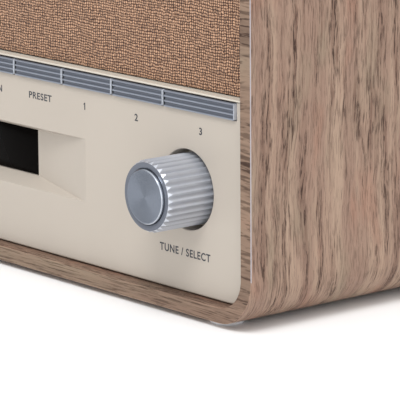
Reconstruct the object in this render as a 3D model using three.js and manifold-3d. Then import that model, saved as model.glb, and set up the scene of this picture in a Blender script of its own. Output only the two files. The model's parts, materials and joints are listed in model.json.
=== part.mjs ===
// A tabletop radio with a wood veneered sleeve, a cream fascia with piano keys and two knobs,
// a cloth grille over two loudspeakers, and a rear panel with its sockets and telescopic aerial.
// Millimetres. X runs to the right as the front is seen, Y from front to back, Z up.
// Every function below works in cabinet coordinates: y = 0 is the front edge of the sleeve
// and z = 0 its underside. The last group lifts the radio onto its feet and centres it.
import * as THREE from "three";
import { mergeVertices } from "three/addons/utils/BufferGeometryUtils.js";
import Module from "manifold-3d";

const wasm = await Module();
wasm.setup();

// ---- Driving dimensions ----------------------------------------------------------------

// Cabinet sleeve and feet
const cabinetWidth = 336;
const cabinetHeight = 184;
const cabinetDepth = 142;
const wall = 6.2;
const cornerRadius = 19;
const footRadius = 6.6;
const footHeight = 2;
const footFromSide = 25;
const footFromFront = 9.5;
const footPegRadius = 2.2;
const footPegShortfall = 2.2;

// Fascia
const fasciaRecess = 5.5;
const fasciaThickness = 2.6;
const fasciaDepth = 11.5;
const skirtThickness = 2;
const edgeGap = 0.5;
const ledgeDepth = 4.3;
const lipHeight = 0.8;

// Piano keys
const keyNames = ["power", "mode", "menu", "info", "scan", "preset", "1", "2", "3"];
const keyPitch = 31.9;
const endKeyPitch = 42.1;
const keyGap = 0.5;
const keyRowBottom = 77.6;
const keyHeight = 6.4;
const keyProud = 1.1;
const keyTravel = 1;
const keyBandDepth = 0.5;
const keyStemSize = 4;
const keyBarDepth = 7.6;

// Display and its recess
const windowWidth = 40;
const windowHeight = 19.1;
const windowBottom = 35.2;
const windowBorder = 1.2;
const recessDepth = 7.4;
const recessHalfWidth = 61;
const recessAbove = 3;
const recessBelow = 3.5;

// Knobs and rotary encoders
const knobFromCentre = 124.25;
const knobCentreHeight = 46.85;
const knobRadius = 14;
const knobProud = 19.75;
const knobFlutes = 32;
const fluteDepth = 0.6;
const knobBevelWidth = 0.9;
const knobBevelLength = 1.6;
const knobHoleGap = 1.65;
const knobRingWidth = 3.4;
const knobCapProud = 1.1;
const knobPush = 0.8;
const shaftRadius = 3;
const bushingWall = 0.8;

// Grille, loudspeakers and boards
const clothThickness = 0.9;
const baffleThickness = 6;
const speakerFromCentre = 98;
const speakerOpeningRadius = 33;
const speakerFlangeWidth = 6;
const speakerDepth = 34;
const magnetRadius = 25;
const linerThickness = 12;
const boardThickness = 1.6;

// Rear panel, bass port and aerial
const rearRecess = 3;
const rearPanelThickness = 3;
const portRadius = 14;
const portWall = 2;
const portLength = 55;
const portHeight = 100;
const rearScrewHeights = [44, 140];
const aerialPivotX = 128;
const aerialHeight = 158;
const aerialRadius = 3;
const aerialSections = 4;
const aerialRadiusStep = 0.5;
const aerialTubeWall = 0.3;
const aerialSectionLength = 150;

// Clearances
const pieceGap = 0.3;
const fitGap = 0.1;

// ---- Sizes that follow from them -------------------------------------------------------

const innerHalfWidth = cabinetWidth / 2 - wall;
const footPegHeight = wall - footPegShortfall;
const innerTop = cabinetHeight - wall;
const innerRadius = cornerRadius - wall;
const panelRadius = innerRadius - edgeGap;
const fasciaBack = fasciaRecess + fasciaThickness;
const fasciaRear = fasciaRecess + fasciaDepth;
const fasciaHalfWidth = innerHalfWidth - edgeGap;
const slotBottom = keyRowBottom - pieceGap;
const slotTop = keyRowBottom + keyHeight + pieceGap;
const ledgeTop = slotTop + lipHeight;
const keyRowWidth = (keyNames.length - 2) * keyPitch + 2 * endKeyPitch;
const keyMiddle = keyRowBottom + keyHeight / 2;
const keyFront = fasciaRecess - keyProud;
const keyBarRear = keyFront + keyBarDepth;
const clothFront = fasciaRecess + ledgeDepth;
const baffleFront = clothFront + clothThickness + fitGap;
const baffleRear = Math.max(baffleFront + baffleThickness, fasciaRear);
const baffleBottom = ledgeTop + pieceGap;
const speakerHeight = (baffleBottom + innerTop) / 2;
const linerFront = Math.max(baffleRear, fasciaRear) + pieceGap;
const rearPanelBack = cabinetDepth - rearRecess;
const rearPanelFront = rearPanelBack - rearPanelThickness;

const knobHoleRadius = knobRadius + knobHoleGap;
const knobCapRadius = knobRadius - knobRingWidth;
const shaftBore = shaftRadius + 0.2;
const bushingRadius = shaftBore + bushingWall;
const encoderCavityRadius = bushingRadius + 0.8;
const encoderSize = 2 * (encoderCavityRadius + 1.2);
const speakerFlangeRadius = speakerOpeningRadius + speakerFlangeWidth;
const recessFloor = fasciaRecess + recessDepth;
const windowTop = windowBottom + windowHeight;
const cupFloorBack = fasciaRear + fitGap;
const cupFloorThickness = 2.7;
const cupFloorFront = cupFloorBack - cupFloorThickness;
const encoderFront = cupFloorBack + pieceGap;
const encoderDepth = 6.4;
const boardFront = encoderFront + encoderDepth + 0.2;
const boardBack = boardFront + boardThickness;
const bossHeights = { upper: keyRowBottom - 5.1, lower: 20 };
const bossFromCentre = 88;

// ---- Solids, joins and cuts ------------------------------------------------------------

function solid(geometry) {
  const bare = geometry.index ? geometry.toNonIndexed() : geometry.clone();
  bare.deleteAttribute("normal");
  bare.deleteAttribute("uv");
  const merged = mergeVertices(bare, 1e-4);
  return new wasm.Manifold(
    new wasm.Mesh({
      numProp: 3,
      vertProperties: new Float32Array(merged.attributes.position.array),
      triVerts: new Uint32Array(merged.index.array),
    }),
  );
}

function geometryOf(manifold) {
  const { vertProperties, triVerts } = manifold.getMesh();
  const geometry = new THREE.BufferGeometry();
  geometry.setAttribute("position", new THREE.BufferAttribute(new Float32Array(vertProperties), 3));
  geometry.setIndex(new THREE.BufferAttribute(new Uint32Array(triVerts), 1));
  geometry.computeVertexNormals();
  return geometry;
}

const join = (first, ...others) => others.reduce((sum, next) => sum.add(next), first);
const cut = (first, ...others) => others.reduce((rest, next) => rest.subtract(next), first);

// A block between two corners.
function block(x0, x1, y0, y1, z0, z1) {
  const geometry = new THREE.BoxGeometry(x1 - x0, y1 - y0, z1 - z0);
  return solid(geometry.translate((x0 + x1) / 2, (y0 + y1) / 2, (z0 + z1) / 2));
}

// Round bars along each axis, turned so that a facet corner always points the same way.
function barAlongY(x, z, y0, y1, radius, sides = 24) {
  const geometry = new THREE.CylinderGeometry(radius, radius, y1 - y0, sides);
  return solid(geometry.translate(x, (y0 + y1) / 2, z));
}

function barAlongX(y, z, x0, x1, radius, sides = 12) {
  const geometry = new THREE.CylinderGeometry(radius, radius, x1 - x0, sides).rotateZ(Math.PI / 2);
  return solid(geometry.translate((x0 + x1) / 2, y, z));
}

function barAlongZ(x, y, z0, z1, radius, sides = 16) {
  const geometry = new THREE.CylinderGeometry(radius, radius, z1 - z0, sides).rotateX(Math.PI / 2);
  return solid(geometry.translate(x, y, (z0 + z1) / 2));
}

// A shape drawn in X and Z, thickened from y0 back to y1.
function plate(shape, y0, y1, arcSteps = 4) {
  const options = { depth: y1 - y0, bevelEnabled: false, curveSegments: arcSteps };
  const geometry = new THREE.ExtrudeGeometry(shape, options).rotateX(Math.PI / 2);
  return solid(geometry.translate(0, y1, 0));
}

// A profile drawn in Y and Z, drawn out along X from x0 to x1.
function bar(shape, x0, x1) {
  const options = { depth: x1 - x0, bevelEnabled: false, curveSegments: 4 };
  const turn = new THREE.Matrix4().makeBasis(
    new THREE.Vector3(0, 1, 0),
    new THREE.Vector3(0, 0, 1),
    new THREE.Vector3(1, 0, 0),
  );
  const geometry = new THREE.ExtrudeGeometry(shape, options).applyMatrix4(turn);
  return solid(geometry.translate(x0, 0, 0));
}

// A profile of [radius, y] points, counter-clockwise, turned about an axis along Y.
function turned(profile, x, z, sides = 24) {
  const points = profile.map(([radius, y]) => new THREE.Vector2(radius, y));
  return solid(new THREE.LatheGeometry(points, sides).translate(x, 0, z));
}

// A closed outline with round lower and upper corners, symmetric about x = 0.
function panelShape(halfWidth, low, high, lowRadius, highRadius, Kind = THREE.Shape) {
  const shape = new Kind();
  const quarter = Math.PI / 2;
  const corner = (x, z, radius, start) => {
    if (radius > 0) shape.absarc(x, z, radius, start, start + quarter, false);
    else shape.lineTo(x, z);
  };
  shape.moveTo(-halfWidth + lowRadius, low);
  corner(halfWidth - lowRadius, low + lowRadius, lowRadius, -quarter);
  corner(halfWidth - highRadius, high - highRadius, highRadius, 0);
  corner(-halfWidth + highRadius, high - highRadius, highRadius, quarter);
  corner(-halfWidth + lowRadius, low + lowRadius, lowRadius, 2 * quarter);
  shape.closePath();
  return shape;
}

// A four-sided funnel between two rectangles that face along Y.
function funnel(front, back) {
  const geometry = new THREE.BoxGeometry(2, 2, 2);
  const position = geometry.attributes.position;
  for (let i = 0; i < position.count; i++) {
    const end = position.getY(i) < 0 ? front : back;
    const x = position.getX(i) * end.halfWidth;
    const z = position.getZ(i) < 0 ? end.low : end.high;
    position.setXYZ(i, x, end.y, z);
  }
  return solid(geometry);
}

// The cross-section of a tube along a curve, swept with the given number of steps.
function swept(section, points, steps) {
  const path = new THREE.CatmullRomCurve3(points.map((p) => new THREE.Vector3(...p)));
  const options = { steps, extrudePath: path, bevelEnabled: false, curveSegments: 2 };
  return solid(new THREE.ExtrudeGeometry(section, options));
}

// ---- Finishes --------------------------------------------------------------------------

const finish = (color, roughness, metalness) => ({ color, roughness, metalness });
const walnutVeneer = finish(0xa1877a, 0.55, 0);
const creamPlastic = finish(0xd0c6ba, 0.5, 0);
const tanCloth = finish(0x96735a, 0.95, 0);
const fibreboard = finish(0x8a6a4c, 0.9, 0);
const blackAcrylic = finish(0x14100e, 0.08, 0);
const blackPlastic = finish(0x1c1c1e, 0.5, 0);
const silverPlastic = finish(0xa5a8b1, 0.35, 0.4);
const keyPlastic = finish(0x70747c, 0.35, 0.4);
const spunMetal = finish(0x838a94, 0.3, 0.9);
const steel = finish(0xb8babd, 0.3, 1);
const circuitBoard = finish(0x1e5a3a, 0.5, 0);
const paperCone = finish(0x2a2826, 0.9, 0);
const greyRubber = finish(0xbfbfc1, 0.6, 0);
const chrome = finish(0xd6d8da, 0.1, 1);
const copperLead = finish(0x8c2a22, 0.5, 0);
const ribbonGrey = finish(0x9a9a98, 0.6, 0);
const aluminium = finish(0xa9acb0, 0.4, 1);

const radio = new THREE.Group();
const pieces = new THREE.Group();
radio.add(pieces);

function addPiece(name, shape, material) {
  const mesh = new THREE.Mesh(geometryOf(shape), new THREE.MeshStandardMaterial(material));
  mesh.name = name;
  pieces.add(mesh);
}

// ---- Cabinet ---------------------------------------------------------------------------

// Where the four feet stand, as seen from above.
function footPlaces() {
  const x = cabinetWidth / 2 - footFromSide;
  const back = cabinetDepth - footFromFront;
  return [
    ["front_left", -x, footFromFront],
    ["front_right", x, footFromFront],
    ["rear_left", -x, back],
    ["rear_right", x, back],
  ];
}

// A rectangular tube of board with round corners, open at the front and the back.
function makeSleeve() {
  const outline = panelShape(cabinetWidth / 2, 0, cabinetHeight, cornerRadius, cornerRadius);
  outline.holes.push(
    panelShape(innerHalfWidth, wall, innerTop, innerRadius, innerRadius, THREE.Path),
  );
  let sleeve = plate(outline, 0, cabinetDepth);
  for (const [, x, y] of footPlaces()) {
    sleeve = cut(sleeve, barAlongZ(x, y, -1, footPegHeight + pieceGap, footPegRadius + pieceGap));
  }
  addPiece("cabinet_sleeve", sleeve, walnutVeneer);
}

// Boards glued inside the sides: the front panels rest on their front edges
// and the rear panel is screwed to their back edges.
function makeSideLiners() {
  const outer = innerHalfWidth - pieceGap;
  const low = wall + innerRadius + 1;
  const high = innerTop - innerRadius - 1;
  for (const [name, side] of [["left", -1], ["right", 1]]) {
    const xs = [side * outer, side * (outer - linerThickness)].sort((a, b) => a - b);
    let liner = block(xs[0], xs[1], linerFront, rearPanelFront - pieceGap, low, high);
    for (const z of rearScrewHeights) {
      liner = cut(liner, rearScrewHole(side, z));
    }
    addPiece("side_liner_" + name, liner, fibreboard);
  }
}

// A foot is a rubber disc with a peg that pushes into the underside of the sleeve.
function makeFeet() {
  for (const [name, x, y] of footPlaces()) {
    const disc = barAlongZ(x, y, -footHeight, -fitGap, footRadius, 24);
    const peg = barAlongZ(x, y, -footHeight / 2, footPegHeight, footPegRadius);
    addPiece("foot_" + name, join(disc, peg), greyRubber);
  }
}

// ---- Fascia ----------------------------------------------------------------------------

// The screw posts behind the fascia. The upper ones step down to pass through the key guide.
function fasciaBosses() {
  const bosses = [];
  for (const x of [-bossFromCentre, bossFromCentre]) {
    bosses.push(barAlongY(x, bossHeights.upper, fasciaBack - 1, guideFront - pieceGap, 2.6, 16));
    bosses.push(barAlongY(x, bossHeights.upper, guideFront - 2, boardFront - pieceGap, 1.8, 16));
    bosses.push(barAlongY(x, bossHeights.lower, fasciaBack - 1, boardFront - pieceGap, 3, 16));
  }
  return bosses;
}

// Each knob sits in a cup behind a round hole, and the encoder is clamped to the cup's floor.
function addKnobCup(fascia, x) {
  const z = knobCentreHeight;
  const cup = barAlongY(x, z, fasciaBack - 1, cupFloorBack, knobHoleRadius + skirtThickness, 40);
  const opening = barAlongY(x, z, 0, cupFloorFront, knobHoleRadius, 40);
  const bushingHole = barAlongY(x, z, 0, cupFloorBack + 1, bushingRadius + pieceGap, 20);
  return cut(join(fascia, cup), opening, bushingHole);
}

// The funnel of the display recess, grown outwards by a wall for its back side.
function recessFunnel(grow) {
  const face = {
    y: fasciaRecess,
    halfWidth: recessHalfWidth + 3 * grow,
    low: windowBottom - recessBelow - grow,
    high: windowTop + recessAbove + grow,
  };
  const floor = {
    y: recessFloor + grow,
    halfWidth: windowWidth / 2 + windowBorder + grow,
    low: windowBottom - grow,
    high: windowTop + grow,
  };
  // The slopes run on in front of the face, so that the cut leaves it clean.
  const before = 0.1;
  const ahead = {};
  for (const key of Object.keys(face)) ahead[key] = face[key] - before * (floor[key] - face[key]);
  return funnel(grow ? face : ahead, floor);
}

function makeFascia() {
  const low = wall + edgeGap;
  const shell = plate(
    panelShape(fasciaHalfWidth, low, ledgeTop, panelRadius, 0), fasciaRecess, fasciaRear);
  const hollow = plate(
    panelShape(fasciaHalfWidth - skirtThickness, low + skirtThickness, slotTop,
      panelRadius - skirtThickness, 0), fasciaBack, fasciaRear + 1);
  const slotHalf = keyRowWidth / 2 + pieceGap;
  const slot = block(-slotHalf, slotHalf, 0, fasciaBack + 1, slotBottom, slotTop);
  const windowCut = block(-windowWidth / 2, windowWidth / 2, recessFloor - 1, fasciaRear + 1,
    windowBottom, windowTop);
  let fascia = join(cut(shell, hollow), recessFunnel(skirtThickness), ...fasciaBosses());
  for (const x of [-knobFromCentre, knobFromCentre]) {
    fascia = addKnobCup(fascia, x);
  }
  fascia = cut(fascia, slot, recessFunnel(0), windowCut);
  for (const x of [-bossFromCentre, bossFromCentre]) {
    fascia = cut(fascia, boardScrewHole(x));
  }
  addPiece("front_fascia", fascia, creamPlastic);
}

// ---- Keys ------------------------------------------------------------------------------

// Every key as its name, left edge and right edge, with the gap already taken off.
function keyPlaces() {
  const last = keyNames.length - 1;
  let left = -keyRowWidth / 2;
  return keyNames.map((name, i) => {
    const right = left + (i === 0 || i === last ? endKeyPitch : keyPitch);
    const place = [name, left + keyGap / 2, right - keyGap / 2];
    left = right;
    return place;
  });
}

const guideFront = keyBarRear + keyTravel + 0.5;
const guideThickness = 2.5;
const switchBody = 3.5;
const switchPlunger = 1.2;
const stemRear = boardFront - switchBody - switchPlunger - keyTravel - fitGap;
const bandRidge = 0.35;

// The front of a key is three shallow hollow bands between narrow ridges, and its top edge is round.
function keyProfile() {
  const shape = new THREE.Shape();
  const bands = 3;
  const steps = 4;
  const round = 0.7;
  const bandHeight = (keyHeight - round) / bands;
  shape.moveTo(keyBarRear, keyRowBottom);
  for (let band = 0; band < bands; band++) {
    const low = keyRowBottom + band * bandHeight;
    shape.lineTo(keyFront, low);
    for (let step = 0; step <= steps; step++) {
      const part = step / steps;
      const depth = keyBandDepth * Math.sin(Math.PI * part);
      shape.lineTo(keyFront + depth, low + bandRidge + part * (bandHeight - bandRidge));
    }
  }
  shape.absarc(keyFront + round, keyRowBottom + keyHeight - round, round, Math.PI, Math.PI / 2, true);
  shape.lineTo(keyBarRear, keyRowBottom + keyHeight);
  shape.closePath();
  return shape;
}

// A key has a bar that fills the slot, a lip that stops it behind the fascia, and a square stem.
function makeKeys() {
  const half = keyStemSize / 2;
  const lipDrop = 1.6;
  for (const [name, left, right] of keyPlaces()) {
    const middle = (left + right) / 2;
    const lip = block(left + 2, right - 2, fasciaBack + pieceGap, keyBarRear,
      slotBottom - lipDrop, keyRowBottom + 1);
    const stem = block(middle - half, middle + half, keyBarRear - 1, stemRear,
      keyMiddle - half, keyMiddle + half);
    addPiece("key_" + name, join(bar(keyProfile(), left, right), lip, stem), keyPlastic);
  }
}

// A comb of square windows that keeps the stems straight.
function makeKeyGuide() {
  const half = keyStemSize / 2 + pieceGap;
  const halfLength = keyRowWidth / 2 - 5;
  const low = bossHeights.upper - 3.5;
  let guide = block(-halfLength, halfLength, guideFront, guideFront + guideThickness,
    low, slotTop - pieceGap);
  for (const [, left, right] of keyPlaces()) {
    const middle = (left + right) / 2;
    guide = cut(guide, block(middle - half, middle + half, guideFront - 1, stemRear + 1,
      keyMiddle - half, keyMiddle + half));
  }
  for (const x of [-bossFromCentre, bossFromCentre]) {
    guide = cut(guide, barAlongY(x, bossHeights.upper, guideFront - 1, stemRear + 1, 2.1, 16));
  }
  addPiece("key_guide", guide, blackPlastic);
}

// ---- Display and front board -----------------------------------------------------------

const lensBack = recessFloor + skirtThickness + fitGap + 1.3;

function makeDisplay() {
  const halfWidth = windowWidth / 2;
  const insert = block(-halfWidth + pieceGap, halfWidth - pieceGap, recessFloor + 0.4, lensBack,
    windowBottom + pieceGap, windowTop - pieceGap);
  const rim = block(-halfWidth - 2, halfWidth + 2, recessFloor + skirtThickness + fitGap, lensBack,
    windowBottom - 2, windowTop + 2);
  addPiece("display_lens", join(insert, rim), blackAcrylic);

  const glassFront = lensBack + pieceGap;
  const frameFront = glassFront + 1.5;
  const glass = block(-halfWidth - 1, halfWidth + 1, glassFront, frameFront + 1,
    windowBottom - 1, windowTop + 1);
  const frame = block(-halfWidth - 5, halfWidth + 5, frameFront, boardFront - pieceGap,
    windowBottom - 4, windowTop + 4);
  addPiece("display_module", join(glass, frame), blackPlastic);
}

const boardScrewLength = 8;

function boardScrewHole(x) {
  return barAlongY(x, bossHeights.lower, boardBack - boardScrewLength - 1, boardBack + 1, 1.3, 12);
}

// One board behind the fascia carries the key switches, the encoders and the display.
function makeFrontBoard() {
  const low = bossHeights.lower - 6;
  const halfLength = innerHalfWidth - pieceGap - linerThickness - 2;
  let board = block(-halfLength, halfLength, boardFront, boardBack, low, keyRowBottom + 12);
  for (const [, left, right] of keyPlaces()) {
    const middle = (left + right) / 2;
    const plunger = boardFront - switchBody - switchPlunger;
    board = join(
      board,
      block(middle - 3, middle + 3, boardFront - switchBody, boardFront + 1,
        keyMiddle - 3, keyMiddle + 3),
      barAlongY(middle, keyMiddle, plunger, boardFront, 1.7, 12),
    );
  }
  board = join(board, block(-14, 14, boardBack - 1, boardBack + 5, low + 3, low + 9));
  for (const x of [-bossFromCentre, bossFromCentre]) {
    board = cut(board, boardScrewHole(x));
  }
  addPiece("front_board", board, circuitBoard);

  for (const [name, x] of [["left", -bossFromCentre], ["right", bossFromCentre]]) {
    const head = boardBack + fitGap;
    const screw = join(
      barAlongY(x, bossHeights.lower, boardBack - boardScrewLength, head + 1, 1, 12),
      barAlongY(x, bossHeights.lower, head, head + 1.6, 2.6, 12),
    );
    addPiece("front_board_screw_" + name, screw, steel);
  }
}

// ---- Encoders and knobs ----------------------------------------------------------------

const knobFace = fasciaRecess - knobProud;
const capFront = knobFace - knobCapProud;
const capSeat = knobFace + 1.4;
const knobRear = cupFloorFront - knobPush - 1.6;
const nutThickness = 2;
const encoderCavity = encoderFront + 2.2;
const shaftRear = encoderCavity + 1.4;
const knobBoreFront = capSeat + 3.6;

function makeEncoder(name, x, hasPush) {
  const half = encoderSize / 2;
  const z = knobCentreHeight;
  const body = join(
    block(x - half, x + half, encoderFront, boardFront - 0.2, z - half, z + half),
    barAlongY(x, z, cupFloorFront - 2.6, encoderFront + 1, bushingRadius, 16),
  );
  const hollow = join(
    barAlongY(x, z, 0, encoderCavity + 1, shaftBore, 16),
    barAlongY(x, z, encoderCavity, boardFront + 1, encoderCavityRadius, 20),
  );
  addPiece(name + "_encoder", cut(body, hollow), aluminium);
  addPiece(name + "_shaft", barAlongY(x, z, knobBoreFront + pieceGap, shaftRear, shaftRadius, 16),
    steel);
  const nutBack = cupFloorFront - fitGap;
  const nut = cut(
    barAlongY(x, z, nutBack - nutThickness, nutBack, bushingRadius + 1.8, 6),
    barAlongY(x, z, nutBack - 9, nutBack + 9, bushingRadius + fitGap, 16),
  );
  addPiece(name + "_encoder_nut", nut, steel);
  if (hasPush) {
    const front = shaftRear + pieceGap;
    addPiece(name + "_push_plunger",
      barAlongY(x, z, front, front + 1.2, encoderCavityRadius - pieceGap, 20), blackPlastic);
  }
}

// The grip's outline: narrow ridges with a hollow flute between each pair.
function flutedOutline(x, z) {
  const shape = new THREE.Shape();
  const step = (2 * Math.PI) / knobFlutes;
  const marks = [
    [0, 0],
    [0.16, 0],
    [0.42, 1],
    [0.74, 1],
  ];
  for (let flute = 0; flute < knobFlutes; flute++) {
    for (const [part, depth] of marks) {
      const angle = (flute + part) * step;
      const radius = knobRadius - depth * fluteDepth;
      const point = [x + radius * Math.cos(angle), z + radius * Math.sin(angle)];
      if (flute === 0 && part === 0) shape.moveTo(...point);
      else shape.lineTo(...point);
    }
  }
  shape.closePath();
  return shape;
}

function makeKnob(name, x) {
  const z = knobCentreHeight;
  const envelope = turned([
    [0, knobFace],
    [knobRadius - knobBevelWidth, knobFace],
    [knobRadius + knobBevelWidth, knobFace + 2 * knobBevelLength],
    [knobRadius + knobBevelWidth, knobRear],
    [0, knobRear],
  ], x, z, 40);
  const grip = plate(flutedOutline(x, z), knobFace - 1, knobRear);
  const seat = barAlongY(x, z, knobFace - 1, capSeat, knobCapRadius + 0.55, 40);
  const skirtRadius = knobRadius - 2.4;
  const hollowFront = capSeat + 2.5;
  const hollow = barAlongY(x, z, hollowFront, knobRear + 1, skirtRadius, 24);
  const hubRadius = shaftRadius + 1.8;
  const hubRear = cupFloorFront - nutThickness - knobPush - 2;
  const hub = barAlongY(x, z, hollowFront - 1, hubRear, hubRadius, 16);
  const bore = barAlongY(x, z, knobBoreFront, hubRear + 1, shaftRadius + fitGap, 16);
  const knob = cut(join(cut(grip.intersect(envelope), seat, hollow), hub), bore);
  addPiece(name + "_knob", knob, silverPlastic);

  const bevel = 0.6;
  const capBack = capSeat - fitGap;
  addPiece(name + "_knob_cap", turned([
    [0, capFront],
    [knobCapRadius - bevel, capFront],
    [knobCapRadius, capFront + bevel],
    [knobCapRadius, capBack],
    [0, capBack],
  ], x, z, 32), spunMetal);
}

// ---- Grille and loudspeakers -----------------------------------------------------------

function makeGrille() {
  const halfWidth = innerHalfWidth - edgeGap;
  const outline = () => panelShape(halfWidth, baffleBottom, innerTop - edgeGap, 0, panelRadius);
  addPiece("grille_cloth", plate(outline(), clothFront, clothFront + clothThickness), tanCloth);
  let baffle = plate(outline(), baffleFront, baffleRear);
  for (const x of [-speakerFromCentre, speakerFromCentre]) {
    baffle = cut(baffle,
      barAlongY(x, speakerHeight, 0, baffleRear + 1, speakerOpeningRadius, 32));
  }
  addPiece("grille_baffle", baffle, fibreboard);
}

// The frame is a flange, a tapered basket and the magnet, and the cone hangs inside it.
function makeSpeaker(name, x) {
  const front = baffleRear + pieceGap;
  const flangeBack = front + 2.5;
  const magnetFront = front + speakerDepth - 13;
  const magnetBack = front + speakerDepth;
  const sheet = 1;
  const mouth = speakerOpeningRadius - 1;
  const neck = 18;
  addPiece("speaker_frame_" + name, turned([
    [mouth, front],
    [speakerFlangeRadius, front],
    [speakerFlangeRadius, flangeBack],
    [mouth + sheet, flangeBack],
    [neck + sheet, magnetFront - 2],
    [magnetRadius, magnetFront],
    [magnetRadius, magnetBack],
    [0, magnetBack],
    [0, magnetFront],
    [neck, magnetFront],
    [neck, magnetFront - 2],
    [mouth, flangeBack],
    [mouth, front],
  ], x, speakerHeight, 24), blackPlastic);

  const rim = mouth - pieceGap;
  const rollHeight = 2;
  const coilRadius = 9;
  const coilFront = front + 13;
  const thick = 0.7;
  addPiece("speaker_cone_" + name, turned([
    [0, coilFront - 4],
    [coilRadius * 0.6, coilFront - 3],
    [coilRadius, coilFront],
    [rim - 6, front + 2],
    [rim - 4.5, front + 2 - rollHeight * 0.8],
    [rim - 2, front + 2 - rollHeight * 0.8],
    [rim, front + 1.6],
    [rim, front + 1.6 + thick],
    [rim - 2.2, front + 2 - rollHeight * 0.8 + thick],
    [rim - 4.3, front + 2 - rollHeight * 0.8 + thick],
    [rim - 6, front + 2 + thick],
    [coilRadius, coilFront + thick],
    [coilRadius, magnetFront - pieceGap],
    [coilRadius - 1, magnetFront - pieceGap],
    [coilRadius - 1, coilFront],
    [coilRadius * 0.6, coilFront - 3 + thick],
    [0, coilFront - 4 + thick],
  ], x, speakerHeight, 20), paperCone);
}

// ---- Rear panel ------------------------------------------------------------------------

const mainBoardHalfWidth = 70;
const mainBoardDepth = 68;
const mainBoardHeight = 26;
const mainBoardTop = mainBoardHeight + boardThickness;
const mainBoardFront = rearPanelFront - pieceGap - mainBoardDepth;
const socketHeight = mainBoardTop + 5.2;
const dcSocketX = -44;
const headphoneSocketX = -20;
const aerialStubRadius = 4;
const restTabX = -20;
const rearScrewX = innerHalfWidth - pieceGap - linerThickness / 2;

function rearScrewHole(side, z) {
  return barAlongY(side * rearScrewX, z, rearPanelFront - 11, rearPanelBack + 1, 1.6, 12);
}

// A moulded panel with two grooved rails for the main board and a tab that the aerial lies on.
function makeRearPanel() {
  const halfWidth = innerHalfWidth - edgeGap;
  let panel = plate(
    panelShape(halfWidth, wall + edgeGap, innerTop - edgeGap, panelRadius, panelRadius),
    rearPanelFront, rearPanelBack);
  for (const side of [-1, 1]) {
    const inner = side * (mainBoardHalfWidth - 2);
    const outer = side * (mainBoardHalfWidth + 2.5);
    const [x0, x1] = [inner, outer].sort((a, b) => a - b);
    panel = join(panel, block(x0, x1, mainBoardFront + 8, rearPanelFront + 1,
      mainBoardHeight - 3, mainBoardTop + 3));
  }
  const edge = mainBoardHalfWidth + pieceGap;
  panel = cut(
    panel,
    block(-edge, edge, mainBoardFront - 1, rearPanelFront, mainBoardHeight - pieceGap,
      mainBoardTop + pieceGap),
    barAlongY(0, portHeight, 0, cabinetDepth, portRadius + portWall + pieceGap, 32),
    barAlongY(dcSocketX, socketHeight, rearPanelFront - 1, cabinetDepth, 5.3, 20),
    barAlongY(headphoneSocketX, socketHeight, rearPanelFront - 1, cabinetDepth, 4.3, 20),
    barAlongY(aerialPivotX, aerialHeight, 0, cabinetDepth, aerialStubRadius + pieceGap, 16),
  );
  for (const side of [-1, 1]) {
    for (const z of rearScrewHeights) panel = cut(panel, rearScrewHole(side, z));
  }
  const tabTop = aerialHeight - aerialRadius - pieceGap;
  panel = join(panel, block(restTabX - 6, restTabX + 6, rearPanelBack - 1,
    aerialPivotY + aerialRadius, tabTop - 2, tabTop));
  addPiece("rear_panel", panel, blackPlastic);
}

// A flared tube pushed through the rear panel.
function makeBassPort() {
  const flange = rearPanelBack + fitGap;
  const inside = rearPanelBack + 2.4 - portLength;
  addPiece("bass_port", turned([
    [portRadius, inside],
    [portRadius + portWall, inside],
    [portRadius + portWall, flange],
    [portRadius + portWall + 5, flange],
    [portRadius + portWall + 5, flange + 1],
    [portRadius + portWall + 1, flange + 2],
    [portRadius + 2, flange + 1.6],
    [portRadius + 0.6, flange - 1],
    [portRadius, flange - 5],
    [portRadius, inside],
  ], 0, portHeight, 32), blackPlastic);
}

function makeRearScrews() {
  for (const [name, side] of [["left", -1], ["right", 1]]) {
    rearScrewHeights.forEach((z, row) => {
      const x = side * rearScrewX;
      const head = rearPanelBack + fitGap;
      const screw = join(
        barAlongY(x, z, rearPanelFront - 10, head + 1, 1.3, 12),
        turned([[0, head], [3.2, head], [2.9, head + 1.2], [1.6, head + 2], [0, head + 2]], x, z, 16),
      );
      const slot = join(
        block(x - 1.7, x + 1.7, head + 0.9, head + 3, z - 0.35, z + 0.35),
        block(x - 0.35, x + 0.35, head + 0.9, head + 3, z - 1.7, z + 1.7),
      );
      addPiece("rear_screw_" + name + "_" + (row + 1), cut(screw, slot), steel);
    });
  }
}

// ---- Main board and sockets ------------------------------------------------------------

const mainBoardBack = rearPanelFront - pieceGap;

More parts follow.
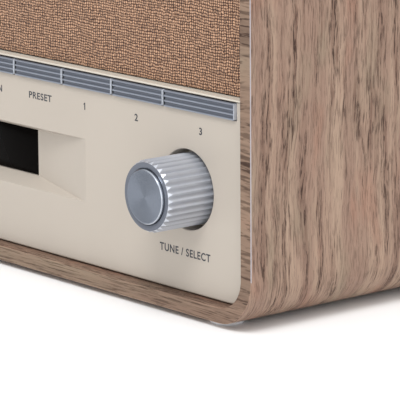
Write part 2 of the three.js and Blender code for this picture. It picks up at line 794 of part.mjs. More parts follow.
// The board with its capacitors, chips and connectors.
function makeMainBoard() {
  let board = block(-mainBoardHalfWidth, mainBoardHalfWidth, mainBoardFront, mainBoardBack,
    mainBoardHeight, mainBoardTop);
  for (const [x, y, radius, height] of [[46, 20, 6.3, 16], [46, 36, 5, 12], [-58, 18, 5, 12]]) {
    board = join(board, barAlongZ(x, mainBoardFront + y, mainBoardTop - 1, mainBoardTop + height,
      radius, 16));
  }
  board = join(
    board,
    block(-20, -4, mainBoardFront + 22, mainBoardFront + 38, mainBoardTop - 1, mainBoardTop + 1.4),
    block(-14, 14, mainBoardFront + 3, mainBoardFront + 9, mainBoardTop - 1, mainBoardTop + 6),
  );
  addPiece("main_board", board, circuitBoard);

  const can = mainBoardTop + fitGap;
  addPiece("tuner_module", block(4, 34, mainBoardFront + 20, mainBoardFront + 60, can, can + 4.5),
    aluminium);

  const sink = new THREE.Shape();
  const fins = 5;
  const finPitch = 3.5;
  const finWidth = 1.2;
  const left = -(fins - 1) * finPitch / 2 - finWidth / 2;
  const base = mainBoardTop + fitGap;
  sink.moveTo(-mainBoardHalfWidth + 26 + left, base);
  const foot = -mainBoardHalfWidth + 26;
  sink.lineTo(foot - left, base);
  for (let fin = fins - 1; fin >= 0; fin--) {
    const x = foot + left + fin * finPitch;
    sink.lineTo(x + finWidth, base + 18);
    sink.lineTo(x, base + 18);
    if (fin > 0) {
      sink.lineTo(x, base + 3);
      sink.lineTo(x - finPitch + finWidth, base + 3);
    }
  }
  sink.closePath();
  addPiece("amplifier_heatsink", plate(sink, mainBoardFront + 14, mainBoardFront + 40), aluminium);
}

// Each socket is a block on the board with a round nose through the rear panel.
function makeSocket(name, x, noseRadius, boreRadius, pinRadius) {
  const half = noseRadius + 0.4;
  const nose = rearPanelBack + 0.2;
  let socket = join(
    block(x - half, x + half, mainBoardBack - 12, rearPanelFront - pieceGap,
      mainBoardTop + fitGap, socketHeight + half),
    barAlongY(x, socketHeight, mainBoardBack - 6, nose, noseRadius, 20),
  );
  socket = cut(socket, barAlongY(x, socketHeight, nose - 9, nose + 1, boreRadius, 16));
  if (pinRadius > 0) {
    socket = join(socket, barAlongY(x, socketHeight, nose - 10, nose - 1.5, pinRadius, 8));
  }
  addPiece(name, socket, blackPlastic);
}

// ---- Aerial ----------------------------------------------------------------------------

const aerialBaseBack = rearPanelBack + 7;
const swivelDisc = 2;
const aerialPivotY = aerialBaseBack + pieceGap + swivelDisc + 4.2;
const tongueHalf = 1.5;
const earInner = tongueHalf + pieceGap;
const earOuter = earInner + 2;
const earRadius = 4;
const pinRadius = 1.2;

// The base is fixed to the panel, the swivel turns on it, and the rod folds between two ears.
function makeAerialMount() {
  const x = aerialPivotX;
  const z = aerialHeight;
  addPiece("aerial_base", join(
    barAlongY(x, z, rearPanelBack + fitGap, aerialBaseBack, 7, 24),
    barAlongY(x, z, rearPanelFront - 2, rearPanelBack + 1, aerialStubRadius, 16),
  ), blackPlastic);

  const discFront = aerialBaseBack + pieceGap;
  const discBack = discFront + swivelDisc;
  let swivel = barAlongY(x, z, discFront, discBack, 6, 24);
  for (const side of [-1, 1]) {
    const [z0, z1] = [z + side * earInner, z + side * earOuter].sort((a, b) => a - b);
    swivel = join(
      swivel,
      barAlongZ(x, aerialPivotY, z0, z1, earRadius, 20),
      block(x - earRadius, x + earRadius, discBack - 1, aerialPivotY, z0, z1),
    );
  }
  swivel = join(swivel, barAlongZ(x, aerialPivotY, z - earOuter, z + earOuter, pinRadius, 12));
  addPiece("aerial_swivel", swivel, blackPlastic);
}

const sectionStep = 3;
const sectionPlug = 3;
const rodStart = earRadius + 4;

// Sections that slide one inside the next. The first carries the folding tongue and
// the last is a solid rod with a round tip.
function makeAerialRod() {
  const y = aerialPivotY;
  const z = aerialHeight;
  for (let i = 0; i < aerialSections; i++) {
    const radius = aerialRadius - i * aerialRadiusStep;
    const start = aerialPivotX - rodStart - i * (sectionPlug + pieceGap);
    const end = aerialPivotX - rodStart - aerialSectionLength - i * sectionStep;
    let section = barAlongX(y, z, end, start, radius);
    if (i < aerialSections - 1) {
      const bore = radius - aerialTubeWall;
      section = cut(section, barAlongX(y, z, end - 1, start - sectionPlug, bore));
    }
    if (i === 0) {
      const tongue = join(
        barAlongZ(aerialPivotX, y, z - tongueHalf, z + tongueHalf, earRadius - 1, 16),
        block(start - 2, aerialPivotX, y - 2, y + 2, z - tongueHalf, z + tongueHalf),
      );
      const pinHole = barAlongZ(aerialPivotX, y, z - 9, z + 9, pinRadius + pieceGap, 12);
      section = cut(join(section, tongue), pinHole);
    }
    if (i === aerialSections - 1) {
      section = join(section, barAlongX(y, z, end - 6, end, radius + 1.4));
    }
    addPiece("aerial_section_" + (i + 1), section, chrome);
  }
}

// ---- Internal leads --------------------------------------------------------------------

function roundSection(radius) {
  const shape = new THREE.Shape();
  shape.absarc(0, 0, radius, 0, 2 * Math.PI, false);
  return shape;
}

// A two-core lead runs from each loudspeaker down to the main board, and a ribbon joins the boards.
function makeLeads() {
  const magnetBack = baffleRear + pieceGap + speakerDepth;
  for (const [name, side] of [["left", -1], ["right", 1]]) {
    const x = side * (mainBoardHalfWidth - 8);
    const top = [side * speakerFromCentre, magnetBack + pieceGap, speakerHeight - 12];
    addPiece("speaker_lead_" + name, swept(roundSection(1), [
      top,
      [side * speakerFromCentre, magnetBack + 6, speakerHeight - 14],
      [side * (speakerFromCentre - 6), magnetBack + 10, speakerHeight - 40],
      [x + side * 8, mainBoardFront - 4, mainBoardTop + 30],
      [x, mainBoardFront + 5, mainBoardTop + 14],
      [x, mainBoardFront + 6, mainBoardTop + pieceGap],
    ], 24), copperLead);
  }
  const ribbon = panelShape(10, -0.4, 0.4, 0, 0);
  const plug = bossHeights.lower;
  addPiece("ribbon_cable", swept(ribbon, [
    [0, boardBack + 5 + pieceGap, plug],
    [0, boardBack + 12, plug],
    [0, mainBoardFront - 10, mainBoardTop + 12],
    [0, mainBoardFront + 2, mainBoardTop + 16],
    [0, mainBoardFront + 6, mainBoardTop + 6 + pieceGap],
  ], 20), ribbonGrey);
}

// ---- Assembly --------------------------------------------------------------------------

makeSleeve();
makeSideLiners();
makeFeet();
makeFascia();
makeKeys();
makeKeyGuide();
makeDisplay();
makeFrontBoard();
makeEncoder("volume", -knobFromCentre, false);
makeEncoder("tuning", knobFromCentre, true);
makeKnob("volume", -knobFromCentre);
makeKnob("tuning", knobFromCentre);
makeGrille();
makeSpeaker("left", -speakerFromCentre);
makeSpeaker("right", speakerFromCentre);
makeRearPanel();
makeBassPort();
makeRearScrews();
makeMainBoard();
makeSocket("dc_socket", dcSocketX, 5, 2.9, 1);
makeSocket("headphone_socket", headphoneSocketX, 4, 1.8, 0);
makeAerialMount();
makeAerialRod();
makeLeads();

// The origin is on the floor, midway between the knob caps and the ears of the aerial.
pieces.position.set(0, -(capFront + aerialPivotY + earRadius) / 2, footHeight);

export default radio;
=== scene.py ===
# %% [markdown]
# # A tabletop radio in a veneered sleeve
# The radio is a tube of board with round corners. A cream fascia with nine piano keys, two ribbed
# knobs and a display fills the lower half of its mouth, and stretched cloth fills the upper half.
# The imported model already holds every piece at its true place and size. This lesson dresses it:
# it loads that model, builds a finer piece wherever the plain solid would look plain, and gives
# every surface a finish made of nodes.

import json
import math

import bmesh
import bpy
from mathutils import Matrix, Quaternion, Vector


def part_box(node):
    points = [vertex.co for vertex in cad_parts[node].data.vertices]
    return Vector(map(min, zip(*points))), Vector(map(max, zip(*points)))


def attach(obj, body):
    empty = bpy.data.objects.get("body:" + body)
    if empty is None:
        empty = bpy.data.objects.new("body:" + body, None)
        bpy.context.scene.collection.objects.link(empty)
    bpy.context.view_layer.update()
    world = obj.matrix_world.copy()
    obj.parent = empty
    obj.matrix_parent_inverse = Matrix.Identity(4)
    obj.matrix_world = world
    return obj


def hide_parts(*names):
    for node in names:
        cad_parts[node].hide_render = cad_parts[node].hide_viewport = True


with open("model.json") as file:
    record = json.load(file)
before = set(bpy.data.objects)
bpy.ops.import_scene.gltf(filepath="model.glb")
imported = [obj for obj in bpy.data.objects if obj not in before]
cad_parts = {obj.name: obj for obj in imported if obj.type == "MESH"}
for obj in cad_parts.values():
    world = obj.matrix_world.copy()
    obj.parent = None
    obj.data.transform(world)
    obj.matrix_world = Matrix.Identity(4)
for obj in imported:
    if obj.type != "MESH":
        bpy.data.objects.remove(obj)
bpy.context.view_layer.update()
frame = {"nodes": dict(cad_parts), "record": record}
MM = 0.001
CABINET = "cabinet"

# %% [markdown]
# ## The camera
# A long lens stands close to the front right corner and looks slightly down. Its place is worked
# out from the sleeve's own corner, so it keeps its view if the cabinet is ever moved. The small
# roll levels the picture, as a photographer does on a tripod head.

# %% Set up the camera
sleeve_low, sleeve_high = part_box("cabinet_sleeve")
AZIMUTH, ELEVATION, ROLL = (math.radians(angle) for angle in (50.345, 12.064, -0.416))
LENS, SENSOR, DISTANCE = 268.27, 36.0, 1120.06 * MM
AIM_FROM_CORNER = Vector((-29.3, 0, 45.86)) * MM

aim = Vector((sleeve_high.x, sleeve_low.y, sleeve_low.z)) + AIM_FROM_CORNER
towards_camera = Vector(
    (
        math.sin(AZIMUTH) * math.cos(ELEVATION),
        -math.cos(AZIMUTH) * math.cos(ELEVATION),
        math.sin(ELEVATION),
    )
)
camera = bpy.data.objects.new("camera", bpy.data.cameras.new("camera"))
camera.data.lens, camera.data.sensor_width = LENS, SENSOR
camera.data.clip_start, camera.data.clip_end = 0.05, 30
camera.rotation_mode = "QUATERNION"
camera.rotation_quaternion = towards_camera.to_track_quat("Z", "Y") @ Quaternion((0, 0, 1), ROLL)
camera.location = aim + towards_camera * DISTANCE
bpy.context.scene.collection.objects.link(camera)
bpy.context.scene.camera = camera
print("the camera stands at", [round(c, 3) for c in camera.location])

# %% [markdown]
# ## Finishes as arithmetic
# A finish is a small network of nodes. Wiring each Math node by hand hides what it works out, so
# a Signal wraps one socket and lets Python's own operators add the nodes: `1 - mask * 0.3` is two
# Math nodes. Every other node comes from `Network.node`, which sets a node's settings first and
# then its sockets. A Finish is the network of one material; the sky at the end is another.


# %% Signals and finishes
class Signal:
    """What one socket carries over a surface."""

    def __init__(self, network, socket):
        self.network, self.socket = network, socket

    def out(self, key):
        """Another output of the same node."""
        return Signal(self.network, self.socket.node.outputs[key])

    def __add__(self, other):
        return self.network.math("ADD", self, other)

    def __radd__(self, other):
        return self.network.math("ADD", other, self)

    def __sub__(self, other):
        return self.network.math("SUBTRACT", self, other)

    def __rsub__(self, other):
        return self.network.math("SUBTRACT", other, self)

    def __mul__(self, other):
        return self.network.math("MULTIPLY", self, other)

    def __rmul__(self, other):
        return self.network.math("MULTIPLY", other, self)

    def __truediv__(self, other):
        return self.network.math("DIVIDE", self, other)

    def __pow__(self, other):
        return self.network.math("POWER", self, other)


class Network:
    """A tree of nodes that is written as arithmetic."""

    def __init__(self, tree):
        self.tree = tree
        self.tree.nodes.clear()

    def node(self, kind, settings=None, inputs=None, output=0):
        made = self.tree.nodes.new(kind)
        for key, value in (settings or {}).items():
            setattr(made, key, value)
        for key, value in (inputs or {}).items():
            if isinstance(value, Signal):
                self.tree.links.new(value.socket, made.inputs[key])
            else:
                made.inputs[key].default_value = value
        return Signal(self, made.outputs[output])

    def math(self, operation, *values):
        return self.node("ShaderNodeMath", {"operation": operation}, dict(enumerate(values)))

    def step(self, value, low, high):
        """A soft step: 0 below low, 1 above high."""
        return self.node(
            "ShaderNodeMapRange",
            {"interpolation_type": "SMOOTHSTEP"},
            {"Value": value, "From Min": low, "From Max": high},
        )

    def mix(self, first, second, share):
        """A colour between two others: all of the second where the share is 1."""
        settings = {"data_type": "RGBA", "clamp_factor": True}
        return self.node("ShaderNodeMix", settings, {0: share, 6: first, 7: second}, 2)

    def vector(self, x, y, z):
        return self.node("ShaderNodeCombineXYZ", None, {0: x, 1: y, 2: z})

    def split(self, vector):
        first = self.node("ShaderNodeSeparateXYZ", None, {0: vector})
        return [first.out(axis) for axis in range(3)]

    def place(self):
        """Where a point is on the radio, in metres."""
        return self.node("ShaderNodeTexCoord", output="Object")

    def noise(self, vector, scale, detail=2.0, roughness=0.5):
        return self.node(
            "ShaderNodeTexNoise",
            None,
            {"Vector": vector, "Scale": scale, "Detail": detail, "Roughness": roughness},
        )

    def bump(self, height, depth):
        """Bends the light as if the surface rose by height times depth, in metres."""
        inputs = {"Height": height, "Distance": depth, "Strength": 1.0}
        return self.node("ShaderNodeBump", None, inputs)

    def end(self, kind, shader):
        """The output node of the tree, with the shader wired to it."""
        end = self.tree.nodes.new(kind)
        self.tree.links.new(shader.socket, end.inputs["Surface"])


class Finish(Network):
    """One material and the nodes that make it."""

    def __init__(self, name):
        self.material = bpy.data.materials.new(name)
        self.material.use_nodes = True
        super().__init__(self.material.node_tree)

    def surface(self, inputs):
        """The shader itself; the finish ends here."""
        shader = self.node("ShaderNodeBsdfPrincipled", None, inputs)
        self.end("ShaderNodeOutputMaterial", shader)
        return self


def colour(red, green, blue):
    """A colour as it is seen on a screen, 0 to 255, turned into light."""
    light = [c / 255 / 12.92 if c <= 10 else ((c / 255 + 0.055) / 1.055) ** 2.4
             for c in (red, green, blue)]
    return (*light, 1.0)


print("white is", colour(255, 255, 255))

# %% [markdown]
# ## Putting a piece into the frame
# A finished piece has no doubled points, faces that point outwards, soft shading with sharp
# edges only where the surface really turns, and its place in its mesh. One helper does this for
# every piece. It also says which body the piece rides on and which plain solids it stands for.


# %% Finish a piece
DOUBLES = 0.0005 * MM


def mark_edges(bm, sharpest):
    """Edges that turn by more than this angle, in degrees, stay sharp in the shading."""
    for edge in bm.edges:
        edge.smooth = edge.calc_face_angle(math.pi) < math.radians(sharpest)
    for face in bm.faces:
        face.smooth = True


def place_piece(name, bm, finishes, body, stands_for, sharpest=35):
    bmesh.ops.remove_doubles(bm, verts=bm.verts, dist=DOUBLES)
    bmesh.ops.recalc_face_normals(bm, faces=bm.faces)
    mark_edges(bm, sharpest)
    return place_mesh(name, bm, finishes, body, stands_for)


def place_mesh(name, bm, finishes, body, stands_for):
    mesh = bpy.data.meshes.new(name)
    bm.to_mesh(mesh)
    bm.free()
    for finish in finishes:
        mesh.materials.append(finish.material)
    piece = bpy.data.objects.new(name, mesh)
    bpy.context.scene.collection.objects.link(piece)
    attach(piece, body)
    if stands_for:
        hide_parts(*stands_for)
    print(name, "has", len(mesh.polygons), "faces")
    return piece


# %% [markdown]
# ## Loops of edges
# Nearly every piece here is a tube of some kind: a loop of edges that is drawn out step by step.
# Two helpers start a loop in the plane of the front, a circle or a rectangle whose corners are
# bevelled round. A third draws a loop out, and is given a rule for each step that says where a
# point goes. Keeping the rules apart from the extrusion lets one helper make a sleeve, a knob
# hole or a slot. The last helper gives a flat shape its thickness.

# %% Start and draw out loops
UPRIGHT = Matrix.Rotation(math.pi / 2, 4, "X")


def edges_among(points):
    points = set(points)
    return [e for e in {e for p in points for e in p.link_edges} if set(e.verts) <= points]


def points_of(edges):
    return {point for edge in edges for point in edge.verts}


def move_points(points, rule):
    for point in points:
        point.co = rule(point.co)


def circle_loop(bm, x, z, radius, y, segments):
    made = bmesh.ops.create_circle(
        bm,
        cap_ends=False,
        radius=radius,
        segments=segments,
        matrix=Matrix.Translation((x, y, z)) @ UPRIGHT,
    )
    return edges_among(made["verts"])


def rectangle_loop(bm, low, high, y, low_radius=0.0, high_radius=0.0, segments=12):
    """low and high are (x, z) corners; the lower and upper corners have their own radius."""
    before = set(bm.faces)
    made = bmesh.ops.create_grid(bm, x_segments=1, y_segments=1, size=0.5)
    size = (high[0] - low[0], high[1] - low[1])
    middle = ((high[0] + low[0]) / 2, (high[1] + low[1]) / 2)
    spread = Matrix.Diagonal((size[0], size[1], 1, 1))
    stand = Matrix.Translation((middle[0], y, middle[1])) @ UPRIGHT @ spread
    bmesh.ops.transform(bm, matrix=stand, verts=made["verts"])
    for radius, upper in ((low_radius, False), (high_radius, True)):
        corners = [p for p in made["verts"] if p.is_valid and (p.co.z > middle[1]) == upper]
        if radius:
            bmesh.ops.bevel(
                bm,
                geom=corners,
                offset=radius,
                offset_type="OFFSET",
                segments=segments,
                profile=0.5,
                affect="VERTICES",
                material=-1,
                clamp_overlap=False,
            )
    face = next(f for f in bm.faces if f not in before)
    edges = list(face.edges)
    bmesh.ops.delete(bm, geom=[face], context="FACES_ONLY")
    return edges


def draw_out(bm, edges, rules):
    """Extrudes a loop once for each rule and returns the last loop."""
    for rule in rules:
        made = bmesh.ops.extrude_edge_only(bm, edges=edges)["geom"]
        points = {g for g in made if isinstance(g, bmesh.types.BMVert)}
        edges = edges_among(points)
        move_points(points, rule)
    return edges


def fill_flat(bm, edges, towards):
    bmesh.ops.triangle_fill(bm, use_beauty=True, edges=edges, normal=towards)


def thicken(bm, faces, by):
    """Extrudes faces and moves the copy away by a vector."""
    made = bmesh.ops.extrude_face_region(bm, geom=faces)["geom"]
    moved = [g for g in made if isinstance(g, bmesh.types.BMVert)]
    bmesh.ops.translate(bm, verts=moved, vec=by)


# %% Rules that say where a point goes
def on_circle(x, z, radius, y):
    centre = Vector((x, y, z))

    def rule(point):
        out = Vector((point.x - x, 0, point.z - z)).normalized()
        return centre + out * radius

    return rule


def on_rectangle(low, high, y):
    middle = ((low[0] + high[0]) / 2, (low[1] + high[1]) / 2)

    def rule(point):
        x = high[0] if point.x > middle[0] else low[0]
        z = high[1] if point.z > middle[1] else low[1]
        return Vector((x, y, z))

    return rule


def on_outline(low, high, low_radius, high_radius, inset, y):
    """The same outline drawn smaller by the inset, with its corners kept in line."""
    middle = (low[1] + high[1]) / 2

    def rule(point):
        upper = point.z > middle
        radius = high_radius if upper else low_radius
        x = (high[0] - radius) if point.x > 0 else (low[0] + radius)
        z = (high[1] - radius) if upper else (low[1] + radius)
        if radius == 0:
            inward = Vector((-math.copysign(1, point.x), 0, -1 if upper else 1))
            return Vector((x, y, z)) + inward * inset
        out = Vector((point.x - x, 0, point.z - z)).normalized()
        return Vector((x, y, z)) + out * (radius - inset)

    return rule


def quarter_round(radius, turns):
    """A rounded edge as (inset, depth) points, for turns in degrees from the face to the side."""
    angles = [math.radians(turn) for turn in turns]
    return [(radius * (1 - math.sin(a)), radius * (1 - math.cos(a))) for a in angles]


# %% [markdown]
# ## Open-pored veneer
# The sleeve is board faced with a greyed brown wood. Such a wood has three scales of figure:
# strips of lighter and darker growth about a centimetre wide, wavy bands of dense pores two to
# five millimetres wide, and the pores themselves, which are dark scratches a third of a
# millimetre wide and up to two centimetres long. A map called grain gives each point its distance
# along and across the grain, so the figure can wrap round the corners as real veneer does.
# Stretched noise makes each scale, and only the pores are cut into the surface. The front edge is
# a strip of the same wood, darker and with its pores more open, so it has its own finish from the
# same recipe.


# %% The veneer finish
def veneer_finish(name, light_brown, brown, dark_brown, pore, open_pores):
    """open_pores is how strong the pores are between the bands, from 0 to 1."""
    wood = Finish(name)
    grain = wood.node("ShaderNodeUVMap", {"uv_map": "grain"})
    along, across, _ = wood.split(grain)

    drift = wood.noise(wood.vector(along * 9, across * 22, 1.7), 1.0, 3.0) - 0.5
    wave = wood.noise(wood.vector(along * 38, across * 60, 8.2), 1.0, 2.0) - 0.5
    bent = across + drift * (12 * MM) + wave * (2 * MM)

    strips = wood.noise(wood.vector(along * 5, bent * 130, 3.1), 1.0, 3.0)
    bands = wood.noise(wood.vector(along * 16, bent * 250, 5.3), 1.0, 4.0, 0.65)
    streaks = wood.noise(wood.vector(along * 80, bent * 1250, 2.6), 1.0, 3.0, 0.65)
    dashes = wood.noise(wood.vector(along * 170, bent * 2000, 0.4), 1.0, 3.0, 0.6)
    fibres = wood.noise(wood.vector(along * 190, bent * 2500, 6.6), 1.0, 4.0, 0.75)
    tint = wood.noise(wood.vector(along * 22, bent * 70, 9.9), 1.0, 3.0)

    olive, russet = colour(140, 126, 106), colour(158, 112, 92)
    band = wood.step(bands, 0.46, 0.66)
    scratch = wood.step(dashes, 0.5, 0.6) * (open_pores + band * (1 - open_pores))
    streak = wood.step(streaks, 0.5, 0.68) * (0.35 + band * 0.65)
    tone = wood.mix(brown, light_brown, wood.step(strips, 0.4, 0.62))
    tone = wood.mix(tone, olive, wood.step(tint, 0.5, 0.72) * 0.55)
    tone = wood.mix(tone, russet, wood.step(tint, 0.45, 0.3) * 0.4)
    tone = wood.mix(tone, dark_brown, band * 0.55)
    tone = wood.mix(tone, light_brown, wood.step(fibres, 0.5, 0.75) * 0.5)
    tone = wood.mix(tone, dark_brown, streak * 0.75)
    tone = wood.mix(tone, pore, scratch * 0.95)
    hollow = 1 - scratch * 0.7 - streak * 0.2 - wood.step(fibres, 0.55, 0.3) * 0.2
    return wood.surface(
        {
            "Base Color": tone,
            "Roughness": 0.52 + scratch * 0.3 - fibres * 0.06,
            "Normal": wood.bump(hollow, 0.08 * MM),
            "Specular IOR Level": 0.3,
        }
    )


veneer = veneer_finish(
    "veneer",
    light_brown=colour(166, 141, 122),
    brown=colour(147, 120, 104),
    dark_brown=colour(104, 76, 63),
    pore=colour(56, 38, 31),
    open_pores=0.32,
)
front_veneer = veneer_finish(
    "front_veneer",
    light_brown=colour(142, 118, 100),
    brown=colour(128, 104, 88),
    dark_brown=colour(74, 52, 41),
    pore=colour(60, 42, 33),
    open_pores=0.6,
)


def pale_edge_highlight_finish():
    """The thin pale line on the outer front edge, which is a painted highlight."""
    edge = Finish("pale_edge_highlight")
    highlight_mottle = edge.noise(edge.place(), 900.0, 2.0)
    return edge.surface(
        {
            "Base Color": edge.mix(colour(156, 149, 152), colour(172, 166, 171), highlight_mottle),
            "Roughness": 0.55 + highlight_mottle * 0.1,
        }
    )


pale_edge_highlight = pale_edge_highlight_finish()
print("finishes so far:", [m.name for m in bpy.data.materials if m.users])

# %% [markdown]
# ## The sleeve
# The sleeve is one tube of board. Its outline is a rectangle with its corners bevelled round,
# and drawing the outline through the wall's own section makes the tube: back over the outside,
# round the small front edges and back along the inside. The front inner edge is rounded by half
# a millimetre, where a finger meets it, and the outer one is only sanded. Along the uprights a
# hair of pale line on that outer edge is a painted highlight. Each face is then given one of the
# three finishes by where it looks: out, forwards or in, or along that painted highlight.

# %% Make the sleeve
WALL = 6.2 * MM
CORNER = 19 * MM
EDGE_LINE = 0.31 * MM
OUTSIDE, PALE_LINE, FRONT = range(3)
sleeve_outline = ((sleeve_low.x, sleeve_low.z), (sleeve_high.x, sleeve_high.z), CORNER, CORNER)
middle_height = (sleeve_low.z + sleeve_high.z) / 2


def wall_section(front, back):
    """Every step round the wall's section as (depth into the wall, place from front to back)."""
    outer, inner, rear = 0.3 * MM, 0.5 * MM, 0.5 * MM
    steps = [(0, front + outer * 2), (0, front + outer), (outer * 0.3, front + outer * 0.3)]
    steps += [(outer, front), (outer * 1.6, front)]
    rounded = quarter_round(inner, (0, 0.1, 22.5, 45, 67.5, 90))
    steps += [(WALL - inset, front + depth) for inset, depth in rounded]
    steps += [(WALL, front + 2 * inner), (WALL, back - rear), (WALL - rear, back)]
    return steps + [(rear, back), (0, back - rear)]


def grain_along(point, right_half):
    """How far round the outside of the sleeve a point is, from the middle of the underside."""
    x, z = abs(point.x), point.z - sleeve_low.z
    half, high = sleeve_high.x - CORNER, sleeve_high.z - sleeve_low.z
    quarter = CORNER * math.pi / 2
    side = high - 2 * CORNER
    if x <= half + 1e-6:
        run = x if z < high / 2 else half + 2 * quarter + side + (half - x)
    elif CORNER <= z <= high - CORNER:
        run = half + quarter + z - CORNER
    else:
        low = z < CORNER
        rise = CORNER - z if low else z - (high - CORNER)
        turn = math.atan2(x - half, rise) * CORNER
        run = half + turn if low else half + 2 * quarter + side - turn
    whole = 4 * half + 4 * quarter + 2 * side
    return run if right_half else whole - run


def lay_grain(bm):
    """Grain runs round the sleeve on its faces, and straight across its front edge.

    On the front edge the figure is drawn out, and taken from another part of the wood.
    """
    drawn_x, drawn_z, another_part = 0.5, 0.36, 3
    grain = bm.loops.layers.uv.new("grain")
    straight = sleeve_high.z - middle_height - 1.5 * WALL
    for face in bm.faces:
        on_front = face.normal.y < -0.75
        inside = face.normal.dot(face.calc_center_median() - Vector((0, 0, middle_height))) < 0
        right = face.calc_center_median().x > 0
        for loop in face.loops:
            point = loop.vert.co
            if on_front:
                up = abs(point.z - middle_height)
                level = min(up, straight) * drawn_z + max(up - straight, 0)
                side = math.copysign(level, point.z - middle_height)
                loop[grain].uv = (point.x * drawn_x + another_part, side)
            else:
                run = grain_along(point, right)
                loop[grain].uv = (run, point.y + (1 if inside else 0))


def lay_finishes(bm):
    for face in bm.faces:
        centre = face.calc_center_median() - Vector((0, 0, middle_height))
        outward = face.normal.dot(centre) > 0
        depth = max(p.co.y for p in face.verts) - sleeve_low.y
        upright = abs(centre.z) < sleeve_high.z - middle_height - CORNER
        if face.normal.y < -0.75 or (not outward and face.normal.y < 0.5):
            face.material_index = FRONT
        # Painted highlight: the outer edge's bevel along the uprights takes the pale line.
        if outward and depth < EDGE_LINE and -0.97 < face.normal.y < -0.1:
            face.material_index = PALE_LINE if upright else OUTSIDE


tube = bmesh.new()
start = rectangle_loop(tube, *sleeve_outline[:2], sleeve_low.y, CORNER, CORNER, 24)
section = wall_section(sleeve_low.y, sleeve_high.y)
first, *others = [on_outline(*sleeve_outline, inset, y) for inset, y in section]
move_points(points_of(start), first)
last = draw_out(tube, start, others)
bmesh.ops.bridge_loops(tube, edges=start + last)
bmesh.ops.bisect_plane(
    tube,
    geom=list(tube.verts) + list(tube.edges) + list(tube.faces),
    plane_co=(0, 0, 0),
    plane_no=(1, 0, 0),
)
bmesh.ops.recalc_face_normals(tube, faces=tube.faces)
mark_edges(tube, 35)
lay_grain(tube)
lay_finishes(tube)
wood = [veneer, pale_edge_highlight, front_veneer]
place_mesh("veneered_sleeve", tube, wood, CABINET, ["cabinet_sleeve"])

# %% [markdown]
# ## Satin plastics
# The fascia is moulded in cream and left with a fine spark-eroded texture, which softens every
# reflection. Under the texture there are slow, faint changes of colour and gloss, without which a
# moulding looks like paper. The same recipe with other numbers makes the black mouldings, and a
# paler, slightly smoother cream for the ledge along the fascia's top, whose paleness is painted
# light.


# %% Moulded plastic
def moulded_finish(name, tone, shade, roughness, grain_size, grain_depth):
    plastic = Finish(name)
    place = plastic.place()
    cloud = plastic.noise(place, 24.0, 3.0)
    texture = plastic.noise(place, 1 / grain_size, 3.0, 0.65)
    return plastic.surface(
        {
            "Base Color": plastic.mix(shade, tone, cloud * 0.7 + texture * 0.45),
            "Roughness": roughness - 0.04 + cloud * 0.05 + texture * 0.05,
            "Normal": plastic.bump(texture, grain_depth),
            "Specular IOR Level": 0.42,
        }
    )


cream_plastic = moulded_finish(
    "cream_plastic", colour(187, 178, 167), colour(179, 170, 159), 0.46, 0.3 * MM, 0.006 * MM
)
lit_ledge_plastic = moulded_finish(
    "lit_ledge_plastic", colour(212, 206, 194), colour(205, 199, 187), 0.4, 0.3 * MM, 0.006 * MM
)
black_plastic = moulded_finish(
    "black_plastic", colour(44, 44, 46), colour(30, 30, 32), 0.5, 0.5 * MM, 0.03 * MM
)

# %% [markdown]
# ## The fascia
# The fascia is a shallow tray: a flat face, a skirt round it, a slot for the keys, a cup for each
# knob and a funnel down to the display. Cutting these with booleans leaves hard, jagged edges.
# Here the face is filled between loops instead, and each loop is then drawn through the tray to
# its back. Two close steps at the face round every edge over by a few tenths of a millimetre, so
# that it catches a line of light.

# %% Sizes of the fascia
fascia_low, fascia_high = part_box("front_fascia")
FACE = fascia_low.y
SKIRT_BACK = fascia_high.y
FACE_BACK = FACE + 2.6 * MM
SKIRT = 2 * MM
FASCIA_CORNER = CORNER - WALL - 0.5 * MM
KEY_HEIGHT = 6.4 * MM
key_low, key_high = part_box("key_power")[0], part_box("key_3")[1]
KEY_FOOT = key_high.z - KEY_HEIGHT
knob_low, knob_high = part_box("tuning_knob")
KNOB_X = (knob_low.x + knob_high.x) / 2
KNOB_Z = (knob_low.z + knob_high.z) / 2
KNOB_RADIUS = (knob_high.x - knob_low.x) / 2
HOLE_RADIUS = KNOB_RADIUS + 1.65 * MM
CUP_FLOOR = (FACE + 8.9 * MM, FACE + 11.6 * MM)
BUSHING_HOLE = 4.3 * MM
SLOT_GAP = 0.3 * MM
lens_low, lens_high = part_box("display_lens")
WINDOW_LOW = (-20 * MM, fascia_low.z + 28.5 * MM)
WINDOW_HIGH = (20 * MM, WINDOW_LOW[1] + 19.1 * MM)
FUNNEL_DEPTH = 7.4 * MM
print("the knob holes are", round(HOLE_RADIUS * 2 / MM, 2), "mm across")


# %% Tubes through the fascia
SUPPORT = 1.3  # a loop this much further out than the edge keeps the face's shading flat


def rounded_lip(radius_at, edge):
    """Rules for an edge rounded over at the face: radius_at(extra, y) makes one."""
    steps = [(edge * SUPPORT, FACE), (edge, FACE)]
    steps += [(inset, FACE + depth) for inset, depth in quarter_round(edge, (30, 60, 90))]
    steps.append((0, FACE + 2 * edge))
    return [radius_at(extra, y) for extra, y in steps]


def knob_cup(bm, x):
    def at(radius, y):
        return on_circle(x, KNOB_Z, radius, y)

    floor_front, floor_back = CUP_FLOOR
    outer, edge = HOLE_RADIUS + SKIRT, 0.45 * MM
    lip = rounded_lip(lambda extra, y: at(HOLE_RADIUS + extra, y), edge)
    start = circle_loop(bm, x, KNOB_Z, HOLE_RADIUS + edge * SUPPORT, FACE, 96)
    steps = [at(HOLE_RADIUS, floor_front), at(BUSHING_HOLE, floor_front)]
    steps += [at(BUSHING_HOLE, floor_back), at(outer, floor_back), at(outer, FACE_BACK)]
    return start, draw_out(bm, start, lip[1:] + steps)


def grown(low, high, by, by_x=None):
    by_x = by if by_x is None else by_x
    return (low[0] - by_x, low[1] - by), (high[0] + by_x, high[1] + by)


